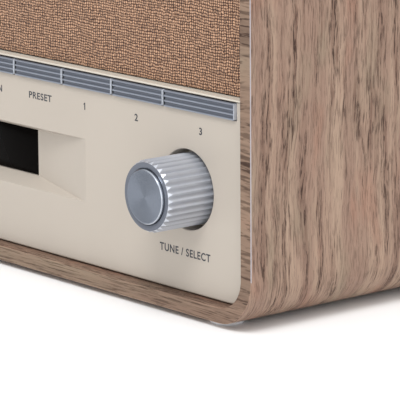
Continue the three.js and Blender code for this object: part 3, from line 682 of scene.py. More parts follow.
def key_slot(bm):
    low = (key_low.x - SLOT_GAP, KEY_FOOT - SLOT_GAP)
    high = (key_high.x + SLOT_GAP, key_high.z + SLOT_GAP)
    edge = 0.14 * MM
    lip = rounded_lip(lambda extra, y: on_rectangle(*grown(low, high, extra), y), edge)
    start = rectangle_loop(bm, *grown(low, high, edge * SUPPORT), FACE)
    return start, draw_out(bm, start, lip[1:] + [on_rectangle(low, high, FACE_BACK)])


# The funnel runs from a wide rectangle in the face to a narrow one round the window.
MOUTH_LOW = (-61 * MM, WINDOW_LOW[1] - 3.5 * MM)
MOUTH_HIGH = (61 * MM, WINDOW_HIGH[1] + 3 * MM)
FLOOR = grown(WINDOW_LOW, WINDOW_HIGH, 0, 1.2 * MM)
FUNNEL_BACK_INSET = 14 * MM


def down_funnel(share):
    """A rule for a rectangle that is this share of the way down the funnel."""
    low = [a + (b - a) * share for a, b in zip(MOUTH_LOW, FLOOR[0])]
    high = [a + (b - a) * share for a, b in zip(MOUTH_HIGH, FLOOR[1])]
    return on_rectangle(low, high, FACE + FUNNEL_DEPTH * share)


def display_funnel(bm):
    """The first steps turn the edge of the mouth, and the last ones close the back."""
    start = rectangle_loop(bm, *grown(MOUTH_LOW, MOUTH_HIGH, 0.4 * MM), FACE)
    window_back = FACE + FUNNEL_DEPTH + SKIRT
    steps = [
        on_rectangle(*grown(MOUTH_LOW, MOUTH_HIGH, 0.25 * MM), FACE),
        on_rectangle(*grown(MOUTH_LOW, MOUTH_HIGH, 0.07 * MM), FACE + 0.06 * MM),
        down_funnel(0.03),
        down_funnel(0.06),
        down_funnel(0.985),
        down_funnel(1),
        on_rectangle(WINDOW_LOW, WINDOW_HIGH, FACE + FUNNEL_DEPTH),
        on_rectangle(WINDOW_LOW, WINDOW_HIGH, window_back),
        on_rectangle(*grown(*FLOOR, SKIRT), window_back),
        on_rectangle(*grown(MOUTH_LOW, MOUTH_HIGH, SKIRT, -FUNNEL_BACK_INSET), FACE_BACK),
    ]
    return start, draw_out(bm, start, steps)


# %% Make the fascia
def fascia_edge(bm):
    """The outside of the tray, from the face over the skirt and back inside it."""
    outline = ((fascia_low.x, fascia_low.z), (fascia_high.x, fascia_high.z), FASCIA_CORNER, 0.0)
    edge, skirt_wall = 0.7 * MM, 0.7 * MM
    start = rectangle_loop(bm, *outline[:2], FACE, FASCIA_CORNER, 0.0, 20)
    move_points(points_of(start), on_outline(*outline, edge * 1.25, FACE))
    rounded = quarter_round(edge, (22.5, 45, 67.5, 90))
    steps = [(edge, FACE)] + [(inset, FACE + depth) for inset, depth in rounded]
    steps += [(0, FACE + 1.6 * edge), (0, SKIRT_BACK)]
    steps += [(skirt_wall, SKIRT_BACK), (skirt_wall, FACE_BACK)]
    return start, draw_out(bm, start, [on_outline(*outline, inset, y) for inset, y in steps])


tray = bmesh.new()
loops = [
    fascia_edge(tray),
    knob_cup(tray, -KNOB_X),
    knob_cup(tray, KNOB_X),
    key_slot(tray),
    display_funnel(tray),
]
fill_flat(tray, [edge for start, _ in loops for edge in start], (0, -1, 0))
fill_flat(tray, [edge for _, end in loops for edge in end], (0, 1, 0))
LEDGE_EDGE = 0.4 * MM
# The ledge along the fascia's top takes the paler cream, which is painted light.
for face in tray.faces:
    if abs(face.calc_center_median().z - fascia_high.z) < LEDGE_EDGE:
        face.material_index = 1
plastics = [cream_plastic, lit_ledge_plastic]
place_piece("cream_fascia", tray, plastics, CABINET, ["front_fascia"])

# %% [markdown]
# ## Silver paint
# The keys and the knobs are plastic sprayed with a fine metallic paint under a clear coat. Such a
# paint is half metal: it darkens and brightens with the light, but stays softer than metal. Tiny
# flakes tilt each point of the paint a little, which breaks up its highlights. Over a white floor
# the small hollows fill with light and hardly show, so a rule can name the hollows of a piece, by
# how deep a point lies under its ridges, and the paint is made darker there as painted shade. Two
# plainer paints are copies of it in painted light: a darker one for the flat ring in a knob's end,
# which is painted shade, and a bright one for the bevels and key ends, which is painted highlight.


# %% Metallic paint
def metallic_paint(name, tone, dark, metallic, roughness, painted_shade_of=None, painted_shade_tone=None):
    paint = Finish(name)
    place = paint.place()
    flake = paint.noise(place, 5200.0, 1.0)
    cloud = paint.noise(place, 60.0, 3.0)
    shade = paint.mix(dark, tone, flake * 0.5 + cloud * 0.6)
    # Painted shade: the paint is darker in the hollows of a piece.
    if painted_shade_of:
        shade = paint.mix(shade, painted_shade_tone, painted_shade_of(paint, *paint.split(place)))
    return paint.surface(
        {
            "Base Color": shade,
            "Metallic": metallic,
            "Roughness": roughness + flake * 0.06 - cloud * 0.04,
            "Normal": paint.bump(flake, 0.002 * MM),
            "Coat Weight": 0.15,
            "Coat Roughness": 0.25,
        }
    )


HOLLOW = 0.62 * MM
FLUTE_DEPTH = 0.9 * MM
FLUTE_PAINTED_SHADE = 0.45


def key_hollow_painted_shade(paint, x, y, z):
    """How far a point lies in a hollow band, behind the front of the keys, where painted shade
    darkens the paint.
    """
    return paint.step(y - key_low.y, 0.1 * HOLLOW, 0.75 * HOLLOW)


def knob_flute_painted_shade(paint, x, y, z):
    """How far a point lies in a flute, where painted shade darkens the paint; both knobs are
    equally far from the middle.
    """
    across = paint.math("ABSOLUTE", x) - KNOB_X
    radius = (across**2.0 + (z - KNOB_Z) ** 2.0) ** 0.5
    depth = KNOB_RADIUS - radius
    return paint.step(depth, 0.45 * FLUTE_DEPTH, FLUTE_DEPTH) * FLUTE_PAINTED_SHADE


key_paint = metallic_paint(
    "key_paint",
    colour(152, 158, 170),
    colour(136, 142, 154),
    metallic=0.45,
    roughness=0.34,
    painted_shade_of=key_hollow_painted_shade,
    painted_shade_tone=colour(96, 101, 112),
)
knob_paint = metallic_paint(
    "knob_paint",
    colour(196, 200, 209),
    colour(178, 182, 191),
    metallic=0.35,
    roughness=0.33,
    painted_shade_of=knob_flute_painted_shade,
    painted_shade_tone=colour(120, 123, 131),
)
# A darker copy of the paint for the flat ring in a knob's end: painted shade.
shaded_ring_paint = metallic_paint("shaded_ring_paint", colour(116, 121, 132), colour(100, 105, 116), 0.7, 0.38)
# A brighter copy of the paint for the bevels and key ends: painted highlight.
highlight_paint = metallic_paint("highlight_paint", colour(206, 211, 220), colour(188, 193, 202), 0.5, 0.3)

# %% [markdown]
# ## Piano keys
# Each key shows a bar with three hollow bands between narrow ridges and a round top edge. The
# outline is drawn like a pen line: a point is extruded to the next corner, and spun about an axis
# in front of the key for each hollow. The filled outline is then extruded along the row. Its left
# end is inset and raised, which chamfers it, and its right end is closed by a round rib in a
# brighter paint, which is a painted highlight. Behind the face are a lip under the slot's edge,
# which keeps the key from falling out, and the stem that reaches its switch.

# %% Sizes of the keys
RIDGE = 0.4 * MM
TOP_ROUND = 0.7 * MM
LEFT_CHAMFER = 0.3 * MM
END_RIB = 0.55 * MM
BANDS = 3


# %% Draw a key's outline
def line_to(bm, point, y, z):
    end = bmesh.ops.extrude_vert_indiv(bm, verts=[point])["verts"][0]
    end.co = Vector((point.co.x, y, z))
    return end


def arc_to(bm, point, centre_y, centre_z, turn, steps):
    centre = Vector((point.co.x, centre_y, centre_z))
    spun = bmesh.ops.spin(
        bm, geom=[point], cent=centre, axis=(1, 0, 0), angle=turn, steps=steps, use_merge=False
    )
    return next(g for g in spun["geom_last"] if isinstance(g, bmesh.types.BMVert))


def key_outline(bm, x, front, back, low, high):
    band = (high - low - TOP_ROUND) / BANDS
    half = (band - RIDGE) / 2
    radius = (half**2 + HOLLOW**2) / (2 * HOLLOW)
    first = pen = bm.verts.new((x, front, low))
    for count in range(BANDS):
        pen = line_to(bm, pen, front, low + count * band + RIDGE)
        middle = pen.co.z + half
        pen = arc_to(bm, pen, front + HOLLOW - radius, middle, 2 * math.asin(half / radius), 8)
    pen = arc_to(bm, pen, front + TOP_ROUND, pen.co.z, -math.pi / 2, 5)
    pen = line_to(bm, pen, back, high)
    pen = line_to(bm, pen, back, low)
    bm.edges.new((pen, first))
    return bmesh.ops.edgeloop_fill(bm, edges=list(bm.edges))["faces"][0]


def add_block(bm, low, high, bevel=0.0):
    """A block with soft edges, for the parts behind a face."""
    made = bmesh.ops.create_cube(bm, size=1.0)["verts"]
    size = Matrix.Diagonal((*(Vector(high) - Vector(low)), 1))
    place = Matrix.Translation((Vector(high) + Vector(low)) / 2)
    bmesh.ops.transform(bm, matrix=place @ size, verts=made)
    if bevel:
        edges = edges_among(made)
        bmesh.ops.bevel(
            bm,
            geom=edges,
            offset=bevel,
            offset_type="OFFSET",
            segments=2,
            profile=0.5,
            affect="EDGES",
            material=-1,
        )


# %% Make the nine keys
BAR_DEPTH = 7.6 * MM
STEM = 4 * MM


def make_key(name):
    low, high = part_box("key_" + name)
    top, bottom = key_high.z, KEY_FOOT
    left, right, rear = low.x + LEFT_CHAMFER, high.x - END_RIB, low.y + BAR_DEPTH
    bm = bmesh.new()
    face = key_outline(bm, left, low.y, rear, bottom, top)
    thicken(bm, [face], (right - left, 0, 0))
    bmesh.ops.recalc_face_normals(bm, faces=bm.faces)
    end = next(f for f in bm.faces if f.normal.x < -0.9)
    bmesh.ops.inset_region(
        bm, faces=[end], thickness=LEFT_CHAMFER, depth=LEFT_CHAMFER, use_even_offset=True
    )
    plain = set(bm.faces)
    # The round rib at the right end takes the brighter paint, which is a painted highlight.
    add_block(bm, (right - 0.2 * MM, low.y, bottom), (high.x, rear, top), 0.5 * MM)
    for face in set(bm.faces) - plain:
        face.material_index = 1
    lip = 2 * MM
    lip_front = FACE_BACK + 0.3 * MM
    add_block(bm, (low.x + lip, lip_front, low.z), (high.x - lip, rear, low.z + lip))
    stem = Vector(((low.x + high.x) / 2, 0, (top + bottom) / 2))
    reach = Vector((STEM / 2, 0, STEM / 2))
    stem_low, stem_high = stem - reach, stem + reach
    stem_low.y, stem_high.y = rear - MM, high.y
    add_block(bm, stem_low, stem_high, 0.3 * MM)
    node = "key_" + name
    finishes = [key_paint, highlight_paint]
    return place_piece("piano_key_" + name, bm, finishes, node, [node], 28)


KEYS = ("power", "mode", "menu", "info", "scan", "preset", "1", "2", "3")
for name in KEYS:
    make_key(name)

# %% [markdown]
# ## Ribbed knobs
# A knob is a cup with thirty-two hollow flutes down its side. One circle with twelve points to
# each flute is drawn out along the knob, and a rule says how far each point is from the axis. The
# chamfer at the front is a cone, so the loop where it meets the flutes lies where the cone and
# the fluted side have the same radius: that gives the saw-tooth line by itself. The loop starts at
# the flat ring in the end and is drawn both ways, out over the side to the hollow rear with its
# hub, and in to the seat of the disc.

# %% Make the knobs
FLUTES = 32
RIDGE_SHARE = 0.12
BEVEL_WIDTH, BEVEL_LENGTH = 0.9 * MM, 1.6 * MM
SEAT_DEPTH = 1.4 * MM
SEAT_GAP = 0.35 * MM
SEAT_EDGE = 0.18 * MM
CUP_WALL, FACE_WALL = 2.4 * MM, 2.5 * MM
HUB_RADIUS, HUB_SHORTFALL = 4.8 * MM, 4.8 * MM
SHAFT_HOLE, SHAFT_END = 3.1 * MM, 3.6 * MM
POINTS_PER_FLUTE = 12
SHADED_RING_FACE, HIGHLIGHT_BEVEL_FACE = 1, 2


def side_radius(angle):
    """The fluted side: a narrow round ridge, then a hollow."""
    share = (angle * FLUTES / (2 * math.pi)) % 1
    share = min(max((share - RIDGE_SHARE / 2) / (1 - RIDGE_SHARE), 0), 1)
    return KNOB_RADIUS - FLUTE_DEPTH * math.sin(math.pi * share) ** 0.75


def around(x, radius_rule, y_rule):
    def rule(point):
        angle = math.atan2(point.z - KNOB_Z, point.x - x) + math.pi
        radius = radius_rule(angle)
        out = Vector((-math.cos(angle), 0, -math.sin(angle)))
        return Vector((x, y_rule(radius), KNOB_Z)) + out * radius

    return rule


def make_knob(name, x):
    low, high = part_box(name + "_knob")
    cap_low, cap_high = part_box(name + "_knob_cap")
    seat = (cap_high.x - cap_low.x) / 2 + SEAT_GAP
    ring = KNOB_RADIUS - BEVEL_WIDTH
    slope = BEVEL_LENGTH / BEVEL_WIDTH
    bm = bmesh.new()
    start = circle_loop(bm, x, KNOB_Z, ring, low.y, FLUTES * POINTS_PER_FLUTE)

    def plain(radius, y):
        return around(x, lambda angle: radius, lambda found: y)

    # Outwards from the flat ring: the cone, the fluted side, the rear and the hollow inside.
    cone = around(x, side_radius, lambda found: low.y + (found - ring) * slope)
    crest = draw_out(bm, start, [cone])
    crest_points = points_of(crest)
    cup, cup_floor = KNOB_RADIUS - CUP_WALL, low.y + SEAT_DEPTH + FACE_WALL
    hub_rear, bore_end = CUP_FLOOR[0] - HUB_SHORTFALL, low.y + SEAT_DEPTH + SHAFT_END
    behind = [(cup, high.y), (cup, cup_floor), (HUB_RADIUS, cup_floor), (HUB_RADIUS, hub_rear)]
    behind += [(SHAFT_HOLE, hub_rear), (SHAFT_HOLE, bore_end), (0, bore_end)]
    side = around(x, side_radius, lambda found: high.y)
    draw_out(bm, crest, [side] + [plain(*step) for step in behind])
    # Inwards from the flat ring: its inner edge, the groove and the seat of the cap.
    edge, seat_floor = SEAT_EDGE, low.y + SEAT_DEPTH
    ahead = [(seat + edge, low.y), (seat + edge * 0.3, low.y + edge * 0.3), (seat, low.y + edge)]
    ahead += [(seat, seat_floor), (0, seat_floor)]
    draw_out(bm, start, [plain(*step) for step in ahead])
    crest = [e for e in bm.edges if set(e.verts) <= crest_points]
    bmesh.ops.remove_doubles(bm, verts=bm.verts, dist=DOUBLES)
    bmesh.ops.recalc_face_normals(bm, faces=bm.faces)
    mark_edges(bm, 38)
    for line in crest:
        if line.is_valid:
            line.smooth = False
    # The flat ring takes the darker copy of the paint, as painted shade, and the front cone the
    # brighter one, as painted highlight.
    for face in bm.faces:
        centre = face.calc_center_median()
        distance = (centre - Vector((x, low.y, KNOB_Z))).length
        if distance < ring and centre.y < seat_floor + 0.1 * MM:
            face.material_index = SHADED_RING_FACE
        elif ring < distance and face.normal.y < -0.3 and centre.y < low.y + BEVEL_LENGTH:
            face.material_index = HIGHLIGHT_BEVEL_FACE
    finishes = [knob_paint, shaded_ring_paint, highlight_paint]
    node = name + "_knob"
    return place_mesh(name + "_ribbed_knob", bm, finishes, node, [node])


KNOBS = (("volume", -KNOB_X), ("tuning", KNOB_X))
for name, x in KNOBS:
    make_knob(name, x)

# %% [markdown]
# ## Spun discs
# The end of each knob carries a disc that was faced on a lathe. The tool leaves rings, and they fan
# its reflections out into the two cones of light that mark a turned face. Rings in the bump alone
# gave no such cones, so a wave of real rings a third of a millimetre apart is in the section that
# is spun round the axis. The finish adds finer ones, as noise of the distance from that axis. The
# edge of the disc has the same finish in a brighter tone, which is a painted highlight.


# %% Turned parts
ALONG_X, ALONG_Y, ALONG_Z = Vector((1, 0, 0)), Vector((0, 1, 0)), Vector((0, 0, 1))


def turn_section(bm, section, centre, axis, steps, side=ALONG_Z):
    """Spins a line of (radius, distance along the axis) points into a closed part."""
    line = [bm.verts.new(centre + side * radius + axis * along) for radius, along in section]
    edges = [bm.edges.new(pair) for pair in zip(line, line[1:])]
    bmesh.ops.spin(
        bm,
        geom=line + edges,
        cent=centre,
        axis=axis,
        angle=2 * math.pi,
        steps=steps,
        use_merge=True,
    )
    bmesh.ops.remove_doubles(bm, verts=bm.verts, dist=DOUBLES)


def spun_metal_finish(name, x, dark, light):
    metal = Finish(name)
    across, _, up = metal.split(metal.place())
    radius = ((across - x) ** 2.0 + (up - KNOB_Z) ** 2.0) ** 0.5
    rings = metal.noise(metal.vector(radius * 9000, 0.0, 0.0), 1.0, 2.0, 0.8)
    slow = metal.noise(metal.vector(radius * 900, 0.0, 3.0), 1.0, 2.0)
    tone = metal.mix(dark, light, rings * 0.6 + slow * 0.4)
    return metal.surface(
        {
            "Base Color": tone,
            "Metallic": 0.92,
            "Roughness": 0.2 + rings * 0.08,
            "Normal": metal.bump(rings, 0.004 * MM),
        }
    )


# %% Make the discs
RING_PITCH, RING_DEPTH, POINTS_PER_RING = 0.32 * MM, 0.036 * MM, 8


def make_cap(name, x):
    low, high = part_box(name + "_knob_cap")
    radius, chamfer, edge = (high.x - low.x) / 2, 0.42 * MM, 0.08 * MM
    bm = bmesh.new()
    face = radius - chamfer - edge
    count = int(face / RING_PITCH) * POINTS_PER_RING
    section = [(0, low.y + RING_DEPTH)]
    for point in range(1, count):
        depth = RING_DEPTH * (1 + math.cos(2 * math.pi * point / POINTS_PER_RING)) / 2
        section.append((point * RING_PITCH / POINTS_PER_RING, low.y + depth))
    section += [
        (face, low.y),
        (radius - chamfer + edge * 0.7, low.y + edge * 0.3),
        (radius - edge * 0.3, low.y + chamfer - edge * 0.7),
        (radius, low.y + chamfer + edge),
        (radius, high.y),
        (0, high.y),
    ]
    turn_section(bm, section, Vector((x, 0, KNOB_Z)), ALONG_Y, 96)
    # The rim takes the brighter copy of the spun finish: a painted highlight on the cut edge.
    for point in bm.verts:
        distance = Vector((point.co.x - x, point.co.z - KNOB_Z)).length
        for rim in point.link_faces if distance > radius - edge * 0.5 else ():
            rim.material_index = 1
    spun = spun_metal_finish(name + "_spun_metal", x, colour(112, 119, 131), colour(136, 143, 155))
    rim_highlight = spun_metal_finish(name + "_cut_edge_highlight", x, colour(176, 182, 192), colour(200, 206, 215))
    body, node = name + "_knob", name + "_knob_cap"
    return place_piece(name + "_spun_disc", bm, [spun, rim_highlight], body, [node], 30)


for name, x in KNOBS:
    make_cap(name, x)

# %% [markdown]
# ## Grille cloth
# The cloth is a coarse plain weave of tan yarn, just over a millimetre from thread to thread. It
# is pulled tight over its board, so it is flat, and only its edges turn back. Modelling
# the yarns would cost millions of faces, so the sheet is a plain skin, and the weave is worked out
# from where a point is: which thread is on top in each small square, how round it is, and how dark
# the gap beside it. The paler crowns of the threads are a painted highlight and the dark gaps are
# painted shade. Noise pushes the threads out of line, because real yarn is never even.


# %% The woven finish
def woven_finish(name, pitch, light, middle, gap):
    cloth = Finish(name)
    x, _, z = cloth.split(cloth.place())
    wander = cloth.noise(cloth.vector(x * 420, 2.0, z * 420), 1.0, 3.0) - 0.5
    sway = cloth.noise(cloth.vector(x * 420, 7.0, z * 420), 1.0, 3.0) - 0.5
    slow = cloth.noise(cloth.vector(x * 70, 4.0, z * 70), 1.0, 2.0) - 0.5
    column = (x + wander * (2 * MM) + slow * (3 * MM)) / pitch
    row = (z + sway * (1.7 * MM) + slow * (2 * MM)) / (pitch * 0.9)
    square = [cloth.math("FLOOR", count) for count in (column, row)]
    weft_on_top = cloth.math("PINGPONG", square[0] + square[1], 1.0)
    in_column = cloth.math("FRACT", column) * 2 - 1
    in_row = cloth.math("FRACT", row) * 2 - 1

    def yarn(beside, lengthwise):
        """How high a thread stands: round across, and bowed where it passes over."""
        round_top = cloth.math("MAXIMUM", 1 - beside * beside * 1.15, 0.0) ** 0.5
        return round_top * (1 - lengthwise * lengthwise * 0.55)

    warp, weft = yarn(in_column, in_row), yarn(in_row, in_column)
    height = warp + (weft - warp) * weft_on_top
    thread = cloth.node(
        "ShaderNodeTexWhiteNoise",
        {"noise_dimensions": "2D"},
        {"Vector": cloth.vector(*square, 0.0)},
    )
    fluff = cloth.noise(cloth.place(), 3000.0, 3.0, 0.7)
    # Painted shade in the gaps between threads, and a painted highlight on their crowns.
    tone = cloth.mix(gap, middle, cloth.step(height, 0.32, 0.78))
    tone = cloth.mix(tone, light, cloth.step(height + fluff * 0.3, 0.75, 1.2))
    tone = cloth.mix(tone, gap, cloth.step(thread, 0.4, 1.0) * 0.4)
    return cloth.surface(
        {
            "Base Color": tone,
            "Roughness": 0.85 + fluff * 0.1,
            "Normal": cloth.bump(height + fluff * 0.25, 0.3 * MM),
            "Sheen Weight": 0.15,
            "Sheen Roughness": 0.5,
            "Specular IOR Level": 0.2,
        }
    )


# The lightest colour is a painted highlight on the crowns, and the darkest painted shade in the
# gaps.
tan_cloth = woven_finish(
    "tan_cloth", 1.2 * MM, colour(208, 168, 138), colour(156, 115, 88), colour(46, 20, 10)
)

# %% Stretch the cloth
cloth_low, cloth_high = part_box("grille_cloth")
CLOTH_THICKNESS = 0.2 * MM
# How far in and how deep the cloth is where it bends over the edge of its board.
TURN_BACK = [(1.1 * MM, 0), (0.7 * MM, 0.06 * MM), (0.25 * MM, 0.25 * MM), (0, 0.5 * MM)]


def stretch_cloth():
    outline = ((cloth_low.x, cloth_low.z), (cloth_high.x, cloth_high.z), 0.0, FASCIA_CORNER)
    turned_back = cloth_high.y - cloth_low.y - 0.25 * MM
    bm = bmesh.new()
    start = rectangle_loop(bm, *outline[:2], cloth_low.y, 0.0, FASCIA_CORNER, 16)
    move_points(points_of(start), on_outline(*outline, TURN_BACK[0][0], cloth_low.y))
    rules = [on_outline(*outline, inset, cloth_low.y + depth) for inset, depth in TURN_BACK[1:]]
    rules.append(on_outline(*outline, 0, cloth_low.y + turned_back))
    draw_out(bm, start, rules)
    fill_flat(bm, start, (0, -1, 0))
    bmesh.ops.recalc_face_normals(bm, faces=bm.faces)
    if next(f for f in bm.faces if abs(f.normal.y) > 0.99).normal.y > 0:
        bmesh.ops.reverse_faces(bm, faces=bm.faces)
    area = sum(face.calc_area() for face in bm.faces)
    mark_edges(bm, 60)
    sheet = place_mesh(
        "stretched_cloth", bm, [tan_cloth], CABINET, ["grille_cloth"]
    )
    thickness = sheet.modifiers.new("thickness", "SOLIDIFY")
    thickness.thickness, thickness.offset = CLOTH_THICKNESS, -1


stretch_cloth()

# %% [markdown]
# ## The display
# The window is a block of smoked acrylic, dead black while the radio is off, with polished edges
# and a flange behind the fascia. It needs only soft edges and a clean gloss. A trace of dust and
# fine wiping marks in the roughness keeps the black from looking like a hole.


# %% Smoked acrylic
def smoked_acrylic():
    acrylic = Finish("smoked_acrylic")
    place = acrylic.place()
    wiping = acrylic.noise(place, 90.0, 4.0, 0.6)
    dust = acrylic.noise(place, 2600.0, 2.0)
    speck = acrylic.step(dust, 0.7, 0.78) * 0.25
    return acrylic.surface(
        {
            "Base Color": acrylic.mix(colour(10, 8, 7), colour(44, 41, 40), speck),
            "Roughness": 0.06 + wiping * 0.08 + speck * 0.5,
            "Normal": acrylic.bump(wiping, 0.01 * MM),
            "Specular IOR Level": 0.02,
        }
    )


black_acrylic = smoked_acrylic()


def make_lens():
    flange = FACE + FUNNEL_DEPTH + SKIRT + 0.1 * MM
    gap = 0.3 * MM
    bm = bmesh.new()
    low = (WINDOW_LOW[0] + gap, lens_low.y, WINDOW_LOW[1] + gap)
    high = (WINDOW_HIGH[0] - gap, lens_high.y - 0.2 * MM, WINDOW_HIGH[1] - gap)
    add_block(bm, low, high, 0.3 * MM)
    add_block(bm, (lens_low.x, flange, lens_low.z), lens_high, 0.15 * MM)
    return place_piece(
        "display_window", bm, [black_acrylic], CABINET, ["display_lens"], 50
    )


make_lens()

# %% [markdown]
# ## Printed legends
# Each key and knob is named in small grey capitals, pad printed on the fascia. Text is made as a
# curve, turned into a mesh, and only then scaled to its height and width and stood on the face,
# because a finished piece carries its place in its mesh. The letters are made a little bolder and
# wider apart than the font has them. The font's 1 is a bare stroke, so it gets a slanted flag. A
# skin two hundredths of a millimetre thick is enough to be seen and too thin to cast a shadow.


# %% Print the legends
def ink_finish():
    ink = Finish("grey_ink")
    grain = ink.noise(ink.place(), 4000.0, 2.0)
    return ink.surface(
        {
            "Base Color": ink.mix(colour(40, 42, 50), colour(58, 60, 68), grain),
            "Roughness": 0.45 + grain * 0.1,
        }
    )


grey_ink = ink_finish()
INK = 0.02 * MM
BOLDER, LETTER_SPACE, WIDER = 0.024, 1.12, 1.12
FLAG_LENGTH, FLAG_WIDTH, FLAG_SLANT = 1.1 * MM, 0.32 * MM, math.radians(-38)
FLAG_LEFT, FLAG_DOWN = 0.42 * MM, 0.45 * MM


def add_flag(bm, x, top):
    """The slanted stroke at the head of a 1."""
    flag = bmesh.ops.create_grid(bm, x_segments=1, y_segments=1, size=0.5)["verts"]
    place = Matrix.Translation((x - FLAG_LEFT, FACE, top - FLAG_DOWN))
    slant = Matrix.Rotation(FLAG_SLANT, 4, "Y")
    size = Matrix.Diagonal((FLAG_LENGTH, FLAG_WIDTH, 1, 1))
    bmesh.ops.transform(bm, matrix=place @ slant @ UPRIGHT @ size, verts=flag)


def print_legend(text, x, low_z, height, width=None):
    curve = bpy.data.curves.new(text, "FONT")
    curve.body, curve.align_x = text, "CENTER"
    curve.offset, curve.space_character = BOLDER, LETTER_SPACE
    written = bpy.data.objects.new(text, curve)
    bpy.context.scene.collection.objects.link(written)
    bpy.context.view_layer.update()
    mesh = bpy.data.meshes.new_from_object(written)
    bpy.data.objects.remove(written)
    bm = bmesh.new()
    bm.from_mesh(mesh)
    bpy.data.meshes.remove(mesh)
    low = Vector(map(min, *[p.co for p in bm.verts]))
    high = Vector(map(max, *[p.co for p in bm.verts]))
    scale = height / (high.y - low.y)
    across = scale * WIDER if width is None else width / (high.x - low.x)
    size = Matrix.Diagonal((across, scale, 1, 1))
    shift = Matrix.Translation((-(low.x + high.x) / 2, -low.y, 0))
    stand = Matrix.Translation((x, FACE, low_z)) @ UPRIGHT
    bmesh.ops.transform(bm, matrix=stand @ size @ shift, verts=bm.verts)
    if text == "1":
        add_flag(bm, x, low_z + height)
    thicken(bm, list(bm.faces), (0, -INK, 0))
    safe = "".join(c if c.isalnum() else "_" for c in text.lower())
    return place_piece("legend_" + safe, bm, [grey_ink], CABINET, [], 30)


LEGEND_Z, LEGEND_HEIGHT = 71.1 * MM, 2.85 * MM
KNOB_LEGEND_Z = 22.6 * MM
# The numbers 1 and 2 stand a little off the middle of their keys, as printed.
SHIFTED = {"1": -2.6 * MM, "2": -1.9 * MM, "3": 0.0}
WIDTHS = {"preset": 15.2 * MM}
for name in KEYS:
    low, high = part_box("key_" + name)
    centre = (low.x + high.x) / 2 + SHIFTED.get(name, 0)
    print_legend(name.upper(), centre, LEGEND_Z, LEGEND_HEIGHT, WIDTHS.get(name))
print_legend("TUNE / SELECT", KNOB_X - 1.45 * MM, KNOB_LEGEND_Z, 3.15 * MM, 30.4 * MM)
print_legend("VOLUME", -KNOB_X, KNOB_LEGEND_Z, 3.0 * MM)

# %% [markdown]
# ## Rubber feet
# Four clear grey rubber discs, each with a peg pushed into the underside. Half a section with a
# round lower edge is spun about an upright axis. The rubber lets a little light in, so it looks
# paler at its rim than a painted disc would.


# %% Make the feet
def rubber_finish():
    rubber = Finish("grey_rubber")
    bloom = rubber.noise(rubber.place(), 500.0, 3.0)
    return rubber.surface(
        {
            "Base Color": rubber.mix(colour(222, 222, 226), colour(240, 240, 243), bloom),
            "Roughness": 0.55 + bloom * 0.15,
            "Normal": rubber.bump(bloom, 0.02 * MM),
            "Subsurface Weight": 0.5,
            "Subsurface Radius": (0.002, 0.002, 0.002),
            "Subsurface Scale": 1.0,
        }
    )


grey_rubber = rubber_finish()
PEG_RADIUS, PEG_TAPER = 2.2 * MM, 0.4 * MM


def make_foot(place):
    node = "foot_" + place
    low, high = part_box(node)
    radius, edge = (high.x - low.x) / 2, 0.2 * MM
    top = sleeve_low.z - 0.1 * MM
    rounded = quarter_round(0.6 * MM, range(0, 91, 18))
    section = [(0, low.z)] + [(radius - inset, low.z + depth) for inset, depth in rounded]
    section += [(radius, top - edge), (radius - edge, top), (PEG_RADIUS, top)]
    section += [(PEG_RADIUS, high.z - PEG_TAPER), (PEG_RADIUS - PEG_TAPER, high.z), (0, high.z)]
    bm = bmesh.new()
    centre = Vector(((low.x + high.x) / 2, (low.y + high.y) / 2, 0))
    turn_section(bm, section, centre, ALONG_Z, 64, ALONG_X)
    return place_piece(place + "_foot", bm, [grey_rubber], CABINET, [node], 40)


for end in ("front", "rear"):
    for hand in ("left", "right"):
        make_foot(end + "_" + hand)

# %% [markdown]
# ## Metals, boards and leads
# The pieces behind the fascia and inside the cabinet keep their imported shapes, because nothing
# round or soft about them would be seen. They still need true finishes: bright rolled steel,
# cast zinc, drawn aluminium, chromed tube, green circuit board with its tracks, brown fibreboard,
# black paper cones, red sleeving and a striped ribbon. Each is a few nodes on the same plan.


# %% Finishes for the inside
def metal_finish(name, tone, dark, roughness, stretch, depth):
    metal = Finish(name)
    x, y, z = metal.split(metal.place())
    lines = metal.noise(metal.vector(x * stretch[0], y * stretch[1], z * stretch[2]), 1.0, 3.0)
    cloud = metal.noise(metal.place(), 70.0, 3.0)
    return metal.surface(
        {
            "Base Color": metal.mix(dark, tone, lines * 0.6 + cloud * 0.5),
            "Metallic": 1.0,
            "Roughness": roughness + lines * 0.08 - cloud * 0.04,
            "Normal": metal.bump(lines, depth),
        }
    )


def board_finish():
    board = Finish("circuit_board")
    x, y, z = board.split(board.place())
    cells = board.node(
        "ShaderNodeTexVoronoi",
        {"feature": "F1", "distance": "MANHATTAN"},
        {"Vector": board.place(), "Scale": 260.0, "Randomness": 0.7},
    )
    tracks = board.math("PINGPONG", (x + y * 0.35 + z) * 420, 1.0)
    track = board.step(tracks, 0.62, 0.72) * board.step(cells, 0.35, 0.5)
    pad = board.step(cells, 0.16, 0.1)
    tone = board.mix(colour(22, 74, 48), colour(40, 104, 66), track)
    tone = board.mix(tone, colour(196, 178, 120), pad)
    return board.surface(
        {
            "Base Color": tone,
            "Metallic": pad * 0.8,
            "Roughness": 0.42 - track * 0.08,
            "Normal": board.bump(track + pad, 0.03 * MM),
        }
    )


def fibre_finish(name, tone, dark, size, depth):
    fibre = Finish(name)
    x, y, z = fibre.split(fibre.place())
    flecks = fibre.noise(fibre.vector(x / size, y / size * 1.7, z / size), 1.0, 4.0, 0.7)
    slow = fibre.noise(fibre.place(), 60.0, 2.0)
    return fibre.surface(
        {
            "Base Color": fibre.mix(dark, tone, flecks * 0.9 + slow * 0.3),
            "Roughness": 0.78 + flecks * 0.12,
            "Normal": fibre.bump(flecks, depth),
        }
    )


